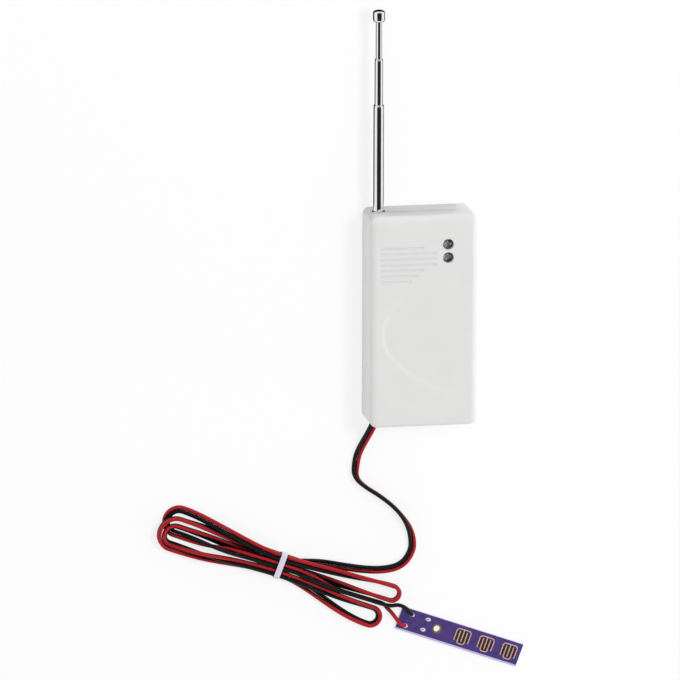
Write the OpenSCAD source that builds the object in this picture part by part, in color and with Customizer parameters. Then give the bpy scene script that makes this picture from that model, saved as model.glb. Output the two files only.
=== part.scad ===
// Water leak sensor: a radio transmitter box with a telescopic antenna, and a water probe
// with comb electrodes on a thin red and black twin lead that is tied in a hank.
// The box lies on its back, beside its lead and probe.
// Origin at the centre of the back face, +Y toward the antenna, +Z out of the front.

/* [Housing] */
// Width of the box across its front
housing_w = 52; // [51:0.5:58]
// Length of the box from the cord end to the antenna end
housing_l = 104; // [103:1:120]
// Depth of the box from back face to front face
housing_d = 25; // [24.6:0.2:28]
// Thickness of the moulded walls
wall = 2; // [1.7:0.1:2.2]
// Radius of the four corners, seen from the front
corner_r = 3.5; // [3.1:0.1:5]
// Radius of the rounded front edge
front_r = 3; // [2:0.2:3]
// How far the front rolls over at the two ends
end_roll = 5; // [3:0.5:7]
// Chamfer of the back edge
back_edge = 0.8; // [0.4:0.1:1.2]
// Height of the rear shell, up to the parting plane
rear_h = 12; // [11.6:0.1:12.6]
// Height of the tongue where the shells lap
lap_h = 1.2; // [0.8:0.1:1.6]
// Clearance round pieces that seat in each other
fit_gap = 0.15; // [0.1:0.01:0.2]
// Diameter of the screws that close the shells
shell_screw_d = 2.6; // [2.2:0.1:3]
// Diameter of the posts that take the shell screws
post_d = 6.4; // [6:0.1:7]
// Spacing of the two wall keyholes
keyhole_pitch = 28; // [20:1:30]
// Diameter of a keyhole where the screw head enters
keyhole_entry_d = 7; // [6:0.5:8]
// Width of the keyhole slot
keyhole_slot = 3.6; // [3:0.1:4.4]

/* [Front] */
// Number of grille grooves
groove_count = 7; // [5:1:7]
// Pitch of the grille grooves
groove_pitch = 2.72; // [2.4:0.02:2.8]
// Depth of the grille grooves
groove_depth = 0.45; // [0.3:0.05:0.6]
// Radius of the round groove bottom
groove_r = 0.9; // [0.7:0.05:1]
// Greatest depth of the curved recess
recess_depth = 0.5; // [0.3:0.05:0.7]
// Width of the soft edge of the recess
recess_edge = 2; // [1:0.1:3]
// Diameter of a lamp lens
led_d = 4.8; // [4:0.1:5]
// Height of a lamp from its flange to its tip
led_h = 8.6; // [8.2:0.1:8.8]
// Spacing of the two lamps
led_pitch = 6.5; // [6.3:0.1:8]

/* [Battery] */
// Width of the nine-volt block battery
battery_w = 26.5; // [25.5:0.1:26.5]
// Thickness of the battery
battery_t = 17.5; // [16.5:0.1:18]
// Length of the battery without its terminals
battery_l = 46.4; // [45:0.1:47]
// Thickness of the battery cover
cover_t = 2; // [1.8:0.1:2.2]
// Width of the tongues that guide the cover
cover_tongue = 1; // [0.8:0.1:1.1]

/* [Circuit board] */
// Thickness of the main board
board_t = 1.6; // [1:0.1:2]
// Diameter of the screws that hold the board and the antenna clamp
board_screw_d = 2.2; // [2:0.1:2.6]

/* [Antenna] */
// Outer diameter of the fixed antenna tube
antenna_d = 6; // [5.8:0.1:6.2]
// Step in diameter from one section to the next
section_step = 1; // [0.9:0.05:1.05]
// Thickness of the antenna tubing
tube_t = 0.25; // [0.2:0.01:0.3]
// Running clearance of the sliding sections, on the radius
slide_gap = 0.05; // [0.03:0.01:0.08]
// Length of the fixed tube
outer_len = 61; // [60.5:0.5:66]
// Length of the lower sliding tube
lower_len = 58.5; // [58:0.5:60]
// Length of the middle sliding tube
middle_len = 54; // [50:1:56]
// Length of the tip rod
tip_len = 50; // [46:1:56]
// How much of the lower tube shows
lower_shown = 51.7; // [45:0.1:52]
// How much of the middle tube shows
middle_shown = 22.5; // [15:0.5:30]
// How much of the tip rod shows
tip_shown = 18; // [12:0.5:26]
// Diameter of the knob
knob_d = 5.8; // [5:0.1:6.4]
// Length of the knob
knob_len = 5.9; // [5:0.1:7]

/* [Lead] */
// Outer diameter of each of the two wires
wire_d = 1.8; // [1.6:0.05:1.9]
// Gap between the two wires of the twin lead
twin_gap = 0.2; // [0.15:0.01:0.25]
// Height of the lead's hole above the back face
lead_z = 7; // [6:0.2:7.6]
// Gap between passes side by side in the hank's waist
column_gap = 0.6; // [0.55:0.05:0.8]
// Gap between the two layers in the hank's waist
layer_gap = 0.5; // [0.45:0.05:0.7]
// Thickness of the tie round the hank
tie_t = 0.6; // [0.5:0.1:0.8]
// Width of the tie along the hank
tie_w = 2.8; // [2:0.1:4]

/* [Probe] */
// Length of the probe board
probe_l = 63; // [61:1:70]
// Width of the probe board
probe_w = 11.5; // [11:0.5:14]
// Thickness of the probe board
probe_t = 1.6; // [1:0.1:2]
// Bore of the plated hole
probe_bore_d = 3.2; // [2.6:0.1:3.4]
// Number of comb electrodes
comb_count = 3; // [1:1:3]
// Width of one strip of an electrode
strip_w = 0.65; // [0.5:0.05:0.75]
// Gap between the strips of an electrode
strip_gap = 1.15; // [0.8:0.05:1.3]

/* [Hidden] */
$fn = 48;

// Small overlap that makes cuts run past a face
cut = 1;
// Inner faces of the walls
in_x = housing_w / 2 - wall;
in_y = housing_l / 2 - wall;
in_z = housing_d - wall;
hull_fn = 32;

// Shell screws, one beside the battery and one at the antenna end
shell_screw_at = [[in_x - 4, in_y - 4], [-in_x + 11, -in_y + 4]];
screw_hole_d = shell_screw_d + 0.2;
screw_head_d = 2 * shell_screw_d;
screw_head_h = 1.6;
screw_sink = 4;
screw_len = rear_h;
keyhole_drop = 28;
keyhole_y = housing_l / 2 - keyhole_drop;
keyhole_rise = 6;

// Front details, placed from the top and side edges
led_x = housing_w / 2 - 14.4;
led_y = [housing_l / 2 - 14.4, housing_l / 2 - 14.4 - led_pitch];
led_hole_d = led_d + 0.2;
led_tip_z = housing_d - 0.2;
led_flange_h = 1;
groove_left = -housing_w / 2 + 4;
groove_top = housing_l / 2 - 15.8;
groove_lengths = [21.8, 28.1, 28.1, 28.1, 21.8, 19.1, 15.9];

// Curved recess: its apex, the parabola above it and the ellipse below it
recess_apex = [-housing_w / 2 + 5, -5.6];
recess_steps = 8;
upper_reach = 22;
upper_focus = 31;
lower_reach = 38;
lower_axis = 77;
lower_half = 36.5;
recess_upper = [for (k = [0:recess_steps]) let (d = upper_reach * pow(k / recess_steps, 2))
    recess_apex + [d, sqrt(upper_focus * d)]];
recess_lower = [for (k = [recess_steps:-1:1]) let (d = lower_reach * pow(k / recess_steps, 2))
    recess_apex + [d, -lower_half * sqrt(1 - pow(1 - d / lower_axis, 2))]];
recess_outline = concat(recess_lower, recess_upper);
recess_fade = [recess_upper[recess_steps], recess_lower[0]];
recess_run = recess_fade[1] - recess_fade[0];
recess_across = [-recess_run[1], recess_run[0]] / norm(recess_run);
recess_span = (recess_fade[0] - recess_apex) * recess_across;
recess_middle = recess_apex + [recess_span, 0];
function recess_share(p) = max(0, (recess_fade[0] - p) * recess_across / recess_span);

// Battery compartment and its sliding cover
cover_lift = 0.3;
cover_end = -housing_l / 2;
battery_x = in_x - 1.8 - battery_w / 2;
battery_y = -in_y + 0.4;
battery_z = cover_lift + cover_t + 0.4;
battery_top_y = battery_y + battery_l;
terminal_h = 2.1;
terminal_pitch = 12.7;
snap_t = 5;
snap_y = battery_top_y + 0.2;
opening_half = battery_w / 2 + 0.5;
opening_top = battery_top_y + 1;
tongue_z = cover_lift + 0.9;
tongue_h = 1;
rail_w = 2.8;
rail_h = cover_lift + cover_t + 1.2;
slot_top = cover_lift + cover_t + fit_gap;

// Main board, beside the antenna tube and under the lamps
antenna_x = -in_x + 3.8;
antenna_z = rear_h;
board_top = led_tip_z - led_h;
board_z = board_top - board_t;
board_left = antenna_x + antenna_d / 2 + 0.8;
board_right = in_x - 1;
board_low = snap_y + snap_t + 2.2;
board_high = in_y - 1;
board_screw_at = [[board_left + 3, board_high - 3], [board_right - 3, board_low + 3]];
clamp_y = board_low + 6;
clamp_len = 6;
clamp_t = 0.6;
clamp_screw = [board_left + 3, clamp_y];
small_head_d = 4.4;
small_head_h = 1.3;
small_hole_d = board_screw_d + 0.2;
boss_bite = 4.5;
// Rows of pieces on the board, each tied to the edge or piece that it stands near
board_w = board_right - board_left;
board_l = board_high - board_low;
chip_pins = 9;
chip_pitch = 1.27;
chip_l = chip_pins * chip_pitch;
chip_w = 7.5;
chip_at_main = [clamp_screw[0] + 4.4, board_low + 5];
pin_pitch = 2.54;
pin_rows = 3;
pin_columns = 5;
pin_h = 4.4;
header_at = [chip_at_main[0] + chip_l + 1.5 + pin_pitch / 2, board_low + 5.6 + pin_pitch / 2];
can_at = [board_left + 10.9, board_high - 6];
transistor_at = [can_at[0] + 8.5, can_at[1]];
middle_row = board_low + 0.55 * board_l;
resistor_l = 10.2;
resistor_x = board_left + 2.8;
resistor_pitch = 2.6;
disc_from = resistor_x + resistor_l + 0.4;
disc_to = led_x - led_d / 2 - 0.8;
disc_t = 1.6;
reservoir_at = [board_right - 4.4, middle_row];
// Where the inner leads and the snap leads join the board, on its underside
lead_pad = [board_left + 6, board_low + 2];
snap_pad = [board_right - 12, board_low + 2];

// Antenna sections: outer radius, and the place of each end along Y
outer_r = antenna_d / 2;
lower_r = outer_r - section_step / 2;
middle_r = lower_r - section_step / 2;
tip_r = middle_r - section_step / 2;
rim_h = 1;
rim_r = outer_r + 0.2;
rim_y = housing_l / 2 + rim_h;
lower_top = rim_y + lower_shown;
middle_top = lower_top + middle_shown;
tip_top = middle_top + tip_shown;
mouth_len = 1.6;
sleeve_len = 4;
press_gap = 0.02;

// Lead frame: its origin lies under the lead's hole, on the end face
exit_x = -in_x + 3;
lead_origin = [exit_x, -housing_l / 2, 0];
wire_r = wire_d / 2;
twin_pitch = wire_d + twin_gap;
floor_gap = 0.05;
lead_start = 6;
clip_from = 8;
clip_len = 4;
inner_start = clip_from + clip_len + 1;

// Free run of the twin lead in the lead frame: x, y, z and the turn of the pair,
// 0 with red on the left of the way along it and 90 with red on top
run_points = [[0, lead_start, lead_z, 0], [0, 2, lead_z, 0], [0, -2, lead_z, 0], [-0.6, -6, 6, 0],
    [-2.5, -11, 3.6, 0], [-4.6, -15, 1.8, 0], [-6.7, -19, 1.1, 0], [-8, -24, 1.3, -10],
    [-8.2, -27.5, 1.75, -40], [-6.6, -31, 2.05, -75], [-2.5, -34.7, 2.1, -90], [3.5, -38.8, 2.1, -90],
    [10, -44.2, 2.1, -90], [15, -50, 2.1, -80], [18.4, -56.2, 1.8, -45], [19.8, -62.7, 1.3, -10],
    [19.1, -67.5, 1.1, 0], [16, -72.2, 1.1, 0], [11.2, -74.9, 1.1, 0], [4, -75.8, 1.1, 0],
    [-4.2, -75.2, 1.1, 0], [-12.8, -73.7, 1.1, 0], [-24.9, -71.3, 1.2, 0]];

// Hank: its tie's place in the lead frame and the turn of its long axis
hank_at = [-45.3, -71];
hank_turn = -20.5;
hank_lead = 9;
settle_start = 0.62;
twist_start = 0.25;
tie_gap = 0.25;
column = twin_pitch + wire_d + column_gap;
low = tie_t + tie_gap - floor_gap;
high = low + wire_d + layer_gap;
// Slots that the passes take in the waist: place across, height and turn of the pair
hank_slots = [[column, low, 0], [-column, low, 180], [-column, high, 180], [0, low, 0],
    [column, high, 180], [0, high, 360]];
// Folds from slot to slot: side, hand, reach, centre and radius of the end, heights of the end, turn
hank_folds = [[-1, 1, 62, -1.5, 8, 2.3, 0, 90], [1, -1, 55.6, -9.9, 3.8, 0, 0, 180],
    [-1, -1, 58.6, -2.1, 4.2, 0, 2.3, 90], [1, -1, 61, 3.8, 3.6, 0, 0, 90],
    [-1, 1, 61.8, 5.2, 6.8, 0, 0, 180]];
run_rings = 6;
end_rings = 6;
hank_sides = 6;
lead_sides = 8;

// Tail of the twin lead beside the hank, in the hank's own axes, and then each wire by itself
tail_points = [[18, -0.9, 4.7, 330], [26, -1.9, 4.7, 275], [33, -2.5, 4, 270], [40, -2.6, 3, 270],
    [48, -2.6, 2.1, 270], [55, -2.5, 2.1, 270]];
red_end_points = [[7.6, -95, 1.1], [9.8, -97.4, 1.6], [11.6, -99.8, 2.7], [13.6, -102.4, 3.2]];
black_end_points = [[9.2, -93.6, 3.1], [13, -92.6, 3.3], [16.5, -94.2, 3.5]];

// Probe, flat on the floor, in the lead frame
probe_at = [43, -110.7];
probe_turn = -20;
red_joint = [-probe_l / 2 + 4.1, -2.9];
black_joint = [-probe_l / 2 + 5.5, 3.3];
solder_r = 1.7;
solder_h = 1.2;
chip_at = [[-probe_l / 2 + 14, 3.4], [-probe_l / 2 + 13.2, -2.1]];
chip_size = [2, 1.3, 0.6];
eyelet_at = [-probe_l / 2 + 19.6, 0.4];
eyelet_wall = 0.15;
eyelet_rim_d = probe_bore_d + 1.8;
eyelet_rim_h = 0.15;
comb_pitch = 12.1;
comb_start = 33;
comb_first = [-probe_l / 2 + comb_start, 0.3];
comb_strips = 5;
comb_w = comb_strips * strip_w + (comb_strips - 1) * strip_gap;
comb_margin = 3.7;
comb_l = probe_w - comb_margin;
copper_t = 0.1;

// Shapes and routes

function ease(u) = let (v = min(1, max(0, u))) v * v * (3 - 2 * v);
function mix(a, b, f) = a + (b - a) * f;
function unit(v) = v / norm(v);
function place(p) = [p[0], p[1], p[2]];

// Smooth curve through points, with some steps between each two
function between(a, b, c, d, u) = 0.5 * (2 * b + (c - a) * u + (2 * a - 5 * b + 4 * c - d) * u * u
    + (3 * b - a - 3 * c + d) * u * u * u);
function smooth_route(p, steps) = let (n = len(p)) concat(
    [for (i = [0:n - 2]) for (j = [0:steps - 1])
        between(p[max(i - 1, 0)], p[i], p[i + 1], p[min(i + 2, n - 1)], j / steps)],
    [p[n - 1]]);

// Direction of a path at one of its points, and the two directions square to it
function along(p, i) = unit(place(p[min(i + 1, len(p) - 1)]) - place(p[max(i - 1, 0)]));
function leftward(t) = unit(cross([0, 0, 1], t));
function upward(t) = cross(t, leftward(t));

// One wire of the twin: the pair's path shifted to one side by its turn
function wire_path(p, side) = [for (i = [0:len(p) - 1]) let (t = along(p, i))
    place(p[i]) + side * twin_pitch / 2 * (leftward(t) * cos(p[i][3]) + upward(t) * sin(p[i][3]))];

// Point of a hank's run from a slot toward an end: s, t, height and turn
function fold_run(u, slot, side, length, end_t, lift, turn) = [side * length * u,
    mix(slot[0], end_t, ease(u)),
    mix(slot[1], lift, ease((u - settle_start) / (1 - settle_start))),
    mix(slot[2], turn, ease((u - twist_start) / (1 - twist_start)))];
// Point of a hank's round end
function fold_end(a, f) = let (half_way = f[1] > 0 ? (a - 90) / 90 : a / 90)
    [f[0] * (f[2] - f[4] + f[4] * sin(a)), f[3] + f[1] * f[4] * cos(a),
        mix(f[5], f[6], ease(half_way)), f[7]];
function fold_path(k) = let (f = hank_folds[k], length = f[2] - f[4]) concat(
    [for (i = [0:run_rings - 1])
        fold_run(i / run_rings, hank_slots[k], f[0], length, f[3] + f[1] * f[4], f[5], f[7])],
    [for (i = [0:end_rings]) fold_end(180 * i / end_rings, f)],
    [for (i = [run_rings - 1:-1:1])
        fold_run(i / run_rings, hank_slots[k + 1], f[0], length, f[3] - f[1] * f[4], f[6], f[7])]);
function slot_point(s, slot) = [s, slot[0], slot[1], slot[2]];
// A place in the hank's axes, moved to the lead frame
function from_hank(s, t, z, turn) = [hank_at[0] + s * cos(hank_turn) - t * sin(hank_turn),
    hank_at[1] + s * sin(hank_turn) + t * cos(hank_turn), z, turn];
// Height of the pair's middle, which rises as the pair turns on edge
function pair_z(height, turn) = wire_r + floor_gap + height + abs(sin(turn)) * twin_pitch / 2;
hank_last = len(hank_slots) - 1;
hank_local = concat([slot_point(hank_lead, hank_slots[0]), slot_point(hank_lead / 2, hank_slots[0])],
    [for (k = [0:len(hank_folds) - 1]) each fold_path(k)],
    [for (s = [0, 0.5, 1]) slot_point(s * hank_lead, hank_slots[hank_last])]);
hank_path = [for (p = hank_local) from_hank(p[0], p[1], pair_z(p[2], p[3]), p[3])];
run_path = smooth_route(concat(run_points, [hank_path[0]]), 2);
twin_tail = concat([hank_path[len(hank_path) - 1]],
    [for (p = tail_points) from_hank(p[0], p[1], p[2], p[3])]);

// Joints of the probe in the lead frame, where the tails end in solder
function on_board(p, z) = [probe_at[0] + p[0] * cos(probe_turn) - p[1] * sin(probe_turn),
    probe_at[1] + p[0] * sin(probe_turn) + p[1] * cos(probe_turn), z];
tail_end_z = probe_t + wire_r + floor_gap;
red_tail_path = smooth_route(concat(wire_path(twin_tail, 1), red_end_points,
    [on_board(red_joint, tail_end_z)]), 2);
black_tail_path = smooth_route(concat(wire_path(twin_tail, -1), black_end_points,
    [on_board(black_joint, tail_end_z)]), 2);

// Least gap of a path to itself, past the neighbouring points, measured on points between rings
function finer(p) = [for (i = [0:len(p) - 2]) for (j = [0:3]) mix(p[i], p[i + 1], j / 4)];
function self_gap(p, near) = let (q = finer(p)) min([for (i = [0:len(q) - 1])
    for (j = [i + near:1:len(q) - 1]) norm(q[i] - q[j])]) - wire_d;
echo(red_hank_gap = self_gap(wire_path(hank_path, 1), 16));
echo(black_hank_gap = self_gap(wire_path(hank_path, -1), 16));

// Solid through rings of equally many points, closed at both ends
module skin(rings) {
    n = len(rings[0]);
    last = len(rings) - 1;
    points = [for (r = rings) each r];
    sides = [for (k = [0:last - 1]) for (i = [0:n - 1]) let (a = k * n + i, b = k * n + (i + 1) % n)
        each [[a, b, a + n], [b, b + n, a + n]]];
    start_cap = [for (i = [1:n - 2]) [0, i + 1, i]];
    end_cap = [for (i = [1:n - 2]) [last * n, last * n + i, last * n + i + 1]];
    polyhedron(points = points, faces = concat(start_cap, sides, end_cap));
}

// Tube of some radius along a path, placed by the lead frame
module tube(path, r, sides) {
    translate(lead_origin)
        skin([for (i = [0:len(path) - 1]) let (t = along(path, i), l = leftward(t), u = upward(t))
            [for (k = [0:sides - 1]) let (a = -360 * k / sides)
                path[i] + r * (l * cos(a) + u * sin(a))]]);
}

// Four discs at the corners of a rounded plan
module corner_discs(w, l, r, z, h) {
    for (sx = [-1, 1], sy = [-1, 1])
        translate([sx * (w / 2 - r), sy * (l / 2 - r), z]) cylinder(r = r, h = h, $fn = hull_fn);
}

// Block with the plan of the walls' inner faces
module cavity(z, h) {
    hull() corner_discs(2 * in_x, 2 * in_y, corner_r - wall, z, h);
}

// Block whose sides lie half way through the walls, for the lap of the two shells
module lap_block(gap, z, h) {
    hull() corner_discs(housing_w - wall + gap, housing_l - wall + gap, corner_r - wall / 2 + gap / 2, z, h);
}

// Axis of the antenna, with its height measured from the back face's middle
module on_antenna(y) {
    translate([antenna_x, y, antenna_z]) rotate([-90, 0, 0]) children();
}

// Hole in the end wall for the fixed antenna tube
module antenna_hole() {
    on_antenna(in_y - cut) cylinder(r = outer_r + slide_gap, h = wall + 2 * cut);
}

// Frame of the probe board
module on_probe() {
    translate(lead_origin) translate([probe_at[0], probe_at[1], 0]) rotate([0, 0, probe_turn]) children();
}

// Curved recess, sunk most at its apex and fading out along its chord
module recess_cut() {
    sunk = [for (p = recess_outline)
        let (f = recess_share(p), q = p + unit(recess_middle - p) * recess_edge * f)
        [q[0], q[1], housing_d - recess_depth * recess_share(q)]];
    rim = [for (p = recess_outline) let (q = p - unit(recess_middle - p) * recess_edge * recess_share(p))
        [q[0], q[1], housing_d + recess_depth]];
    skin([sunk, rim]);
}

// Front of the box, with its edges rolled over in steps
module front_form() {
    steps = 6;
    hull() {
        corner_discs(housing_w, housing_l, corner_r, rear_h, cut);
        for (k = [0:steps]) let (a = 90 * k / steps, f = 1 - cos(a), h = 0.01)
            corner_discs(housing_w - 2 * front_r * f, housing_l - 2 * end_roll * f,
                corner_r - front_r * f, housing_d - front_r + front_r * sin(a) - h, h);
    }
}

// White front shell: grille grooves, recess, lamp holes, bosses and ribs inside
module front_shell() color("#e4e4e2") {
    rib_z = battery_z + battery_t + 0.3;
    difference() {
        union() {
            difference() {
                front_form();
                cavity(rear_h - cut, in_z - rear_h + cut);
                lap_block(fit_gap, rear_h - cut, lap_h + fit_gap + cut);
            }
            for (p = shell_screw_at)
                translate([p[0], p[1], rear_h]) cylinder(d = post_d, h = in_z - rear_h + wall / 2);
            for (p = board_screw_at)
                translate([p[0], p[1], board_top]) cylinder(d = 5, h = in_z - board_top + wall / 2);
            for (y = [battery_y + 8, battery_top_y - 8])
                translate([battery_x - battery_w / 2, y, rib_z])
                    cube([battery_w, 1.5, in_z - rib_z + wall / 2]);
        }
        recess_cut();
        for (i = [0:groove_count - 1])
            translate([groove_left, groove_top - i * groove_pitch, housing_d + groove_r - groove_depth])
                rotate([0, 90, 0]) cylinder(r = groove_r, h = groove_lengths[i]);
        for (y = led_y)
            translate([led_x, y, in_z - cut]) cylinder(d = led_hole_d, h = wall + 2 * cut);
        for (p = shell_screw_at)
            translate([p[0], p[1], rear_h - cut])
                cylinder(d = shell_screw_d + 0.1, h = in_z - rear_h - 1 + cut);
        for (p = board_screw_at)
            translate([p[0], p[1], board_top - cut]) cylinder(d = board_screw_d + 0.1, h = in_z - board_top);
        antenna_hole();
    }
}

// Channel for the battery cover, out through the end wall
module cover_channel() {
    translate([battery_x - opening_half, -in_y, -cut])
        cube([2 * opening_half, in_y + opening_top, rail_h + 2 * cut]);
    translate([battery_x - opening_half, cover_end - cut, -cut])
        cube([2 * opening_half, wall + 2 * cut, slot_top + cut]);
    translate([battery_x - opening_half - cover_tongue - fit_gap, cover_end - cut, tongue_z - fit_gap])
        cube([2 * (opening_half + cover_tongue + fit_gap), cut + housing_l / 2 + opening_top,
            tongue_h + 2 * fit_gap]);
}

// Keyhole through the back, with its slot toward the antenna
module keyhole() {
    translate([0, 0, -cut]) {
        cylinder(d = keyhole_entry_d, h = wall + 2 * cut);
        translate([-keyhole_slot / 2 + 0.05, 0, 0]) cube([keyhole_slot - 0.1, keyhole_rise, wall + 2 * cut]);
        translate([0, keyhole_rise, 0]) cylinder(d = keyhole_slot, h = wall + 2 * cut);
    }
}

// White rear shell: cover rails, screw posts, keyholes and the lead's hole
module rear_shell() color("#dededc") difference() {
    union() {
        difference() {
            union() {
                hull() {
                    corner_discs(housing_w - 2 * back_edge, housing_l - 2 * back_edge,
                        corner_r - back_edge, 0, back_edge);
                    corner_discs(housing_w, housing_l, corner_r, back_edge, rear_h - back_edge);
                }
                lap_block(-fit_gap, rear_h - cut, lap_h + cut);
            }
            cavity(wall, rear_h + lap_h);
        }
        for (p = shell_screw_at)
            translate([p[0], p[1], wall / 2]) cylinder(d = post_d, h = rear_h - wall / 2);
        translate([battery_x - opening_half - rail_w, -in_y - wall / 2, wall / 2])
            cube([rail_w, in_y + opening_top + wall / 2, rail_h - wall / 2]);
        translate([battery_x + opening_half, -in_y - wall / 2, wall / 2])
            cube([in_x + wall / 2 - battery_x - opening_half, in_y + opening_top + wall / 2,
                rail_h - wall / 2]);
    }
    cover_channel();
    for (p = shell_screw_at) translate([p[0], p[1], -cut]) {
        cylinder(d = screw_hole_d, h = rear_h + 2 * cut);
        cylinder(d = screw_head_d + 0.4, h = screw_sink + cut);
    }
    for (side = [-1, 1]) translate([side * keyhole_pitch / 2, keyhole_y, 0]) keyhole();
    translate([exit_x, -in_y + cut, lead_z]) rotate([90, 0, 0]) {
        for (side = [-1, 1])
            translate([side * twin_pitch / 2, 0, 0]) cylinder(r = wire_r + fit_gap, h = wall + 2 * cut);
        translate([-twin_pitch / 2, -wire_r * 0.8, 0]) cube([twin_pitch, wire_d * 0.8, wall + 2 * cut]);
    }
    antenna_hole();
}

// Screw with a flat head at its own origin and its shank along +Z
module pan_screw(d, head_d, head_h, length) {
    translate([0, 0, -head_h]) cylinder(d = head_d, h = head_h);
    cylinder(d = d, h = length);
}

module shell_screws() color("silver") for (p = shell_screw_at)
    translate([p[0], p[1], screw_sink]) pan_screw(shell_screw_d, screw_head_d, screw_head_h, screw_len);

// Cover that slides off toward the cord end, with finger grooves across it
module battery_cover() color("#dcdcda") difference() {
    half = opening_half - fit_gap;
    length = opening_top - fit_gap - cover_end;
    union() {
        translate([battery_x - half, cover_end, cover_lift]) cube([2 * half, length, cover_t]);
        translate([battery_x - half - cover_tongue, cover_end, tongue_z])
            cube([2 * (half + cover_tongue), length, tongue_h]);
    }
    for (i = [0:3]) translate([battery_x - 7, cover_end + 6 + 2.4 * i, cover_lift - 0.5])
        rotate([0, 90, 0]) cylinder(r = 0.9, h = 14);
}

module battery() color("#3a3d42") {
    r = 2;
    w = battery_w;
    t = battery_t;
    translate([battery_x - w / 2, battery_y + battery_l, battery_z])
        rotate([90, 0, 0]) linear_extrude(battery_l)
        polygon([[r, 0], [w - r, 0], [w, r], [w, t - r], [w - r, t], [r, t], [0, t - r], [0, r]]);
}

// Stud and socket on the end of the battery
module on_terminals(side) {
    translate([battery_x + side * terminal_pitch / 2, battery_top_y, battery_z + battery_t / 2])
        rotate([-90, 0, 0]) children();
}
module battery_terminals() color("silver") {
    on_terminals(-1) cylinder(d = 5.7, h = terminal_h);
    on_terminals(1) cylinder(d = 8.4, h = terminal_h, $fn = 6);
}

module battery_snap() color("#26262a") difference() {
    translate([battery_x - battery_w / 2 + 0.5, snap_y, battery_z + 2.5])
        cube([battery_w - 1, snap_t, battery_t - 5]);
    on_terminals(-1) cylinder(d = 6, h = terminal_h + 0.3);
    on_terminals(1) cylinder(d = 8.8, h = terminal_h + 0.3);
}

// Two short leads from the snap to the underside of the board
module snap_leads() color("#a02028") for (side = [-1, 1]) {
    x = snap_pad[0] - exit_x + side * 3;
    y = housing_l / 2;
    tube(smooth_route([[x, y + snap_y + snap_t - 0.1, battery_z + 6],
        [x, y + snap_y + snap_t + 1.4, battery_z + 6.3],
        [x, y + board_low + 1, board_z - 2.2],
        [x, y + board_low + 3.4, board_z - wire_r + 0.15]], 3), wire_r * 0.8, 6);
}

// Green board, drilled for its screws and cleared round the shell screw's boss
module main_board() color("#2f6b3d") difference() {
    translate([board_left, board_low, board_z])
        cube([board_right - board_left, board_high - board_low, board_t]);
    translate([shell_screw_at[0][0], shell_screw_at[0][1], board_z - cut]) {
        cylinder(d = post_d + 0.8, h = board_t + 2 * cut);
        translate([0, -post_d / 2 + 0.6, 0]) cube([in_x, post_d + in_y, board_t + 2 * cut]);
        translate([-post_d / 2 + 0.6, 0, 0]) cube([post_d + in_x, in_y, board_t + 2 * cut]);
    }
    for (p = concat(board_screw_at, [clamp_screw]))
        translate([p[0], p[1], board_z - cut]) cylinder(d = small_hole_d, h = board_t + 2 * cut);
}

// Screws from the underside of the board into the front bosses
module board_screws() color("silver") for (p = board_screw_at)
    translate([p[0], p[1], board_z])
        pan_screw(board_screw_d, small_head_d, small_head_h, board_t + boss_bite);

// Clear lamp: flange, body and dome in one revolve
module lamp(y) {
    r = led_d / 2;
    translate([led_x, y, board_top]) rotate_extrude() polygon(concat(
        [[0, 0], [r + 0.5, 0], [r + 0.5, led_flange_h], [r, led_flange_h]],
        [for (k = [0:6]) let (a = 15 * k) [r * cos(a), led_h - r + r * sin(a)]]));
}
module upper_led() color("#8f9296") lamp(led_y[0]);
module lower_led() color("#8f9296") lamp(led_y[1]);

// Place on the top of the board
module on_main(p) {
    translate([p[0], p[1], board_top]) children();
}

// Flat chip with two rows of legs
module encoder_chip() color("#232327") on_main(chip_at_main) {
    leg = 0.4;
    translate([0, 1, 0.2]) cube([chip_l, chip_w - 2, 2.2]);
    for (i = [0:chip_pins - 1])
        translate([(i + 0.5) * chip_pitch - leg / 2, 0, 0]) cube([leg, chip_w, 0.6]);
}

module saw_resonator() color("silver") on_main(can_at) {
    cylinder(d = 9.2, h = 0.8);
    translate([0, 0, 0.5]) cylinder(d = 8.2, h = 3);
}

// Half-round transistor standing on three legs
module rf_transistor() color("#232327") on_main(transistor_at) {
    translate([0, 0, 1.5]) difference() {
        cylinder(d = 4.8, h = 4.6);
        translate([-3, 1.3, -cut]) cube([6, 3, 4.6 + 2 * cut]);
    }
    for (x = [-1.27, 0, 1.27]) translate([x, 0, 0]) cylinder(d = 0.5, h = 2);
}

// Resistors lying across the board on bent legs
module resistors() color("#c8a878") for (i = [-1:1]) on_main([resistor_x, middle_row + i * resistor_pitch]) {
    body = 6.2;
    wire = 0.6;
    height = 1.3;
    translate([(resistor_l - body) / 2, 0, height]) rotate([0, 90, 0]) cylinder(d = 2.2, h = body);
    translate([0, 0, height]) rotate([0, 90, 0]) cylinder(d = wire, h = resistor_l);
    for (x = [0, resistor_l]) translate([x, 0, 0]) cylinder(d = wire, h = height + wire / 2);
}

// Upright discs between the resistors and the lamps
module disc_capacitors() color("#b9742c") for (f = [0.2, 0.65])
    on_main([mix(disc_from, disc_to - disc_t, f), middle_row]) {
        translate([0, 0, 3.4]) rotate([0, 90, 0]) cylinder(d = 4.6, h = disc_t);
        for (y = [-1.2, 1.2]) translate([disc_t / 2, y, 0]) cylinder(d = 0.5, h = 2.4);
    }

module reservoir_capacitor() color("#2a3350") on_main(reservoir_at) cylinder(d = 5, h = 5.4);

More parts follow.
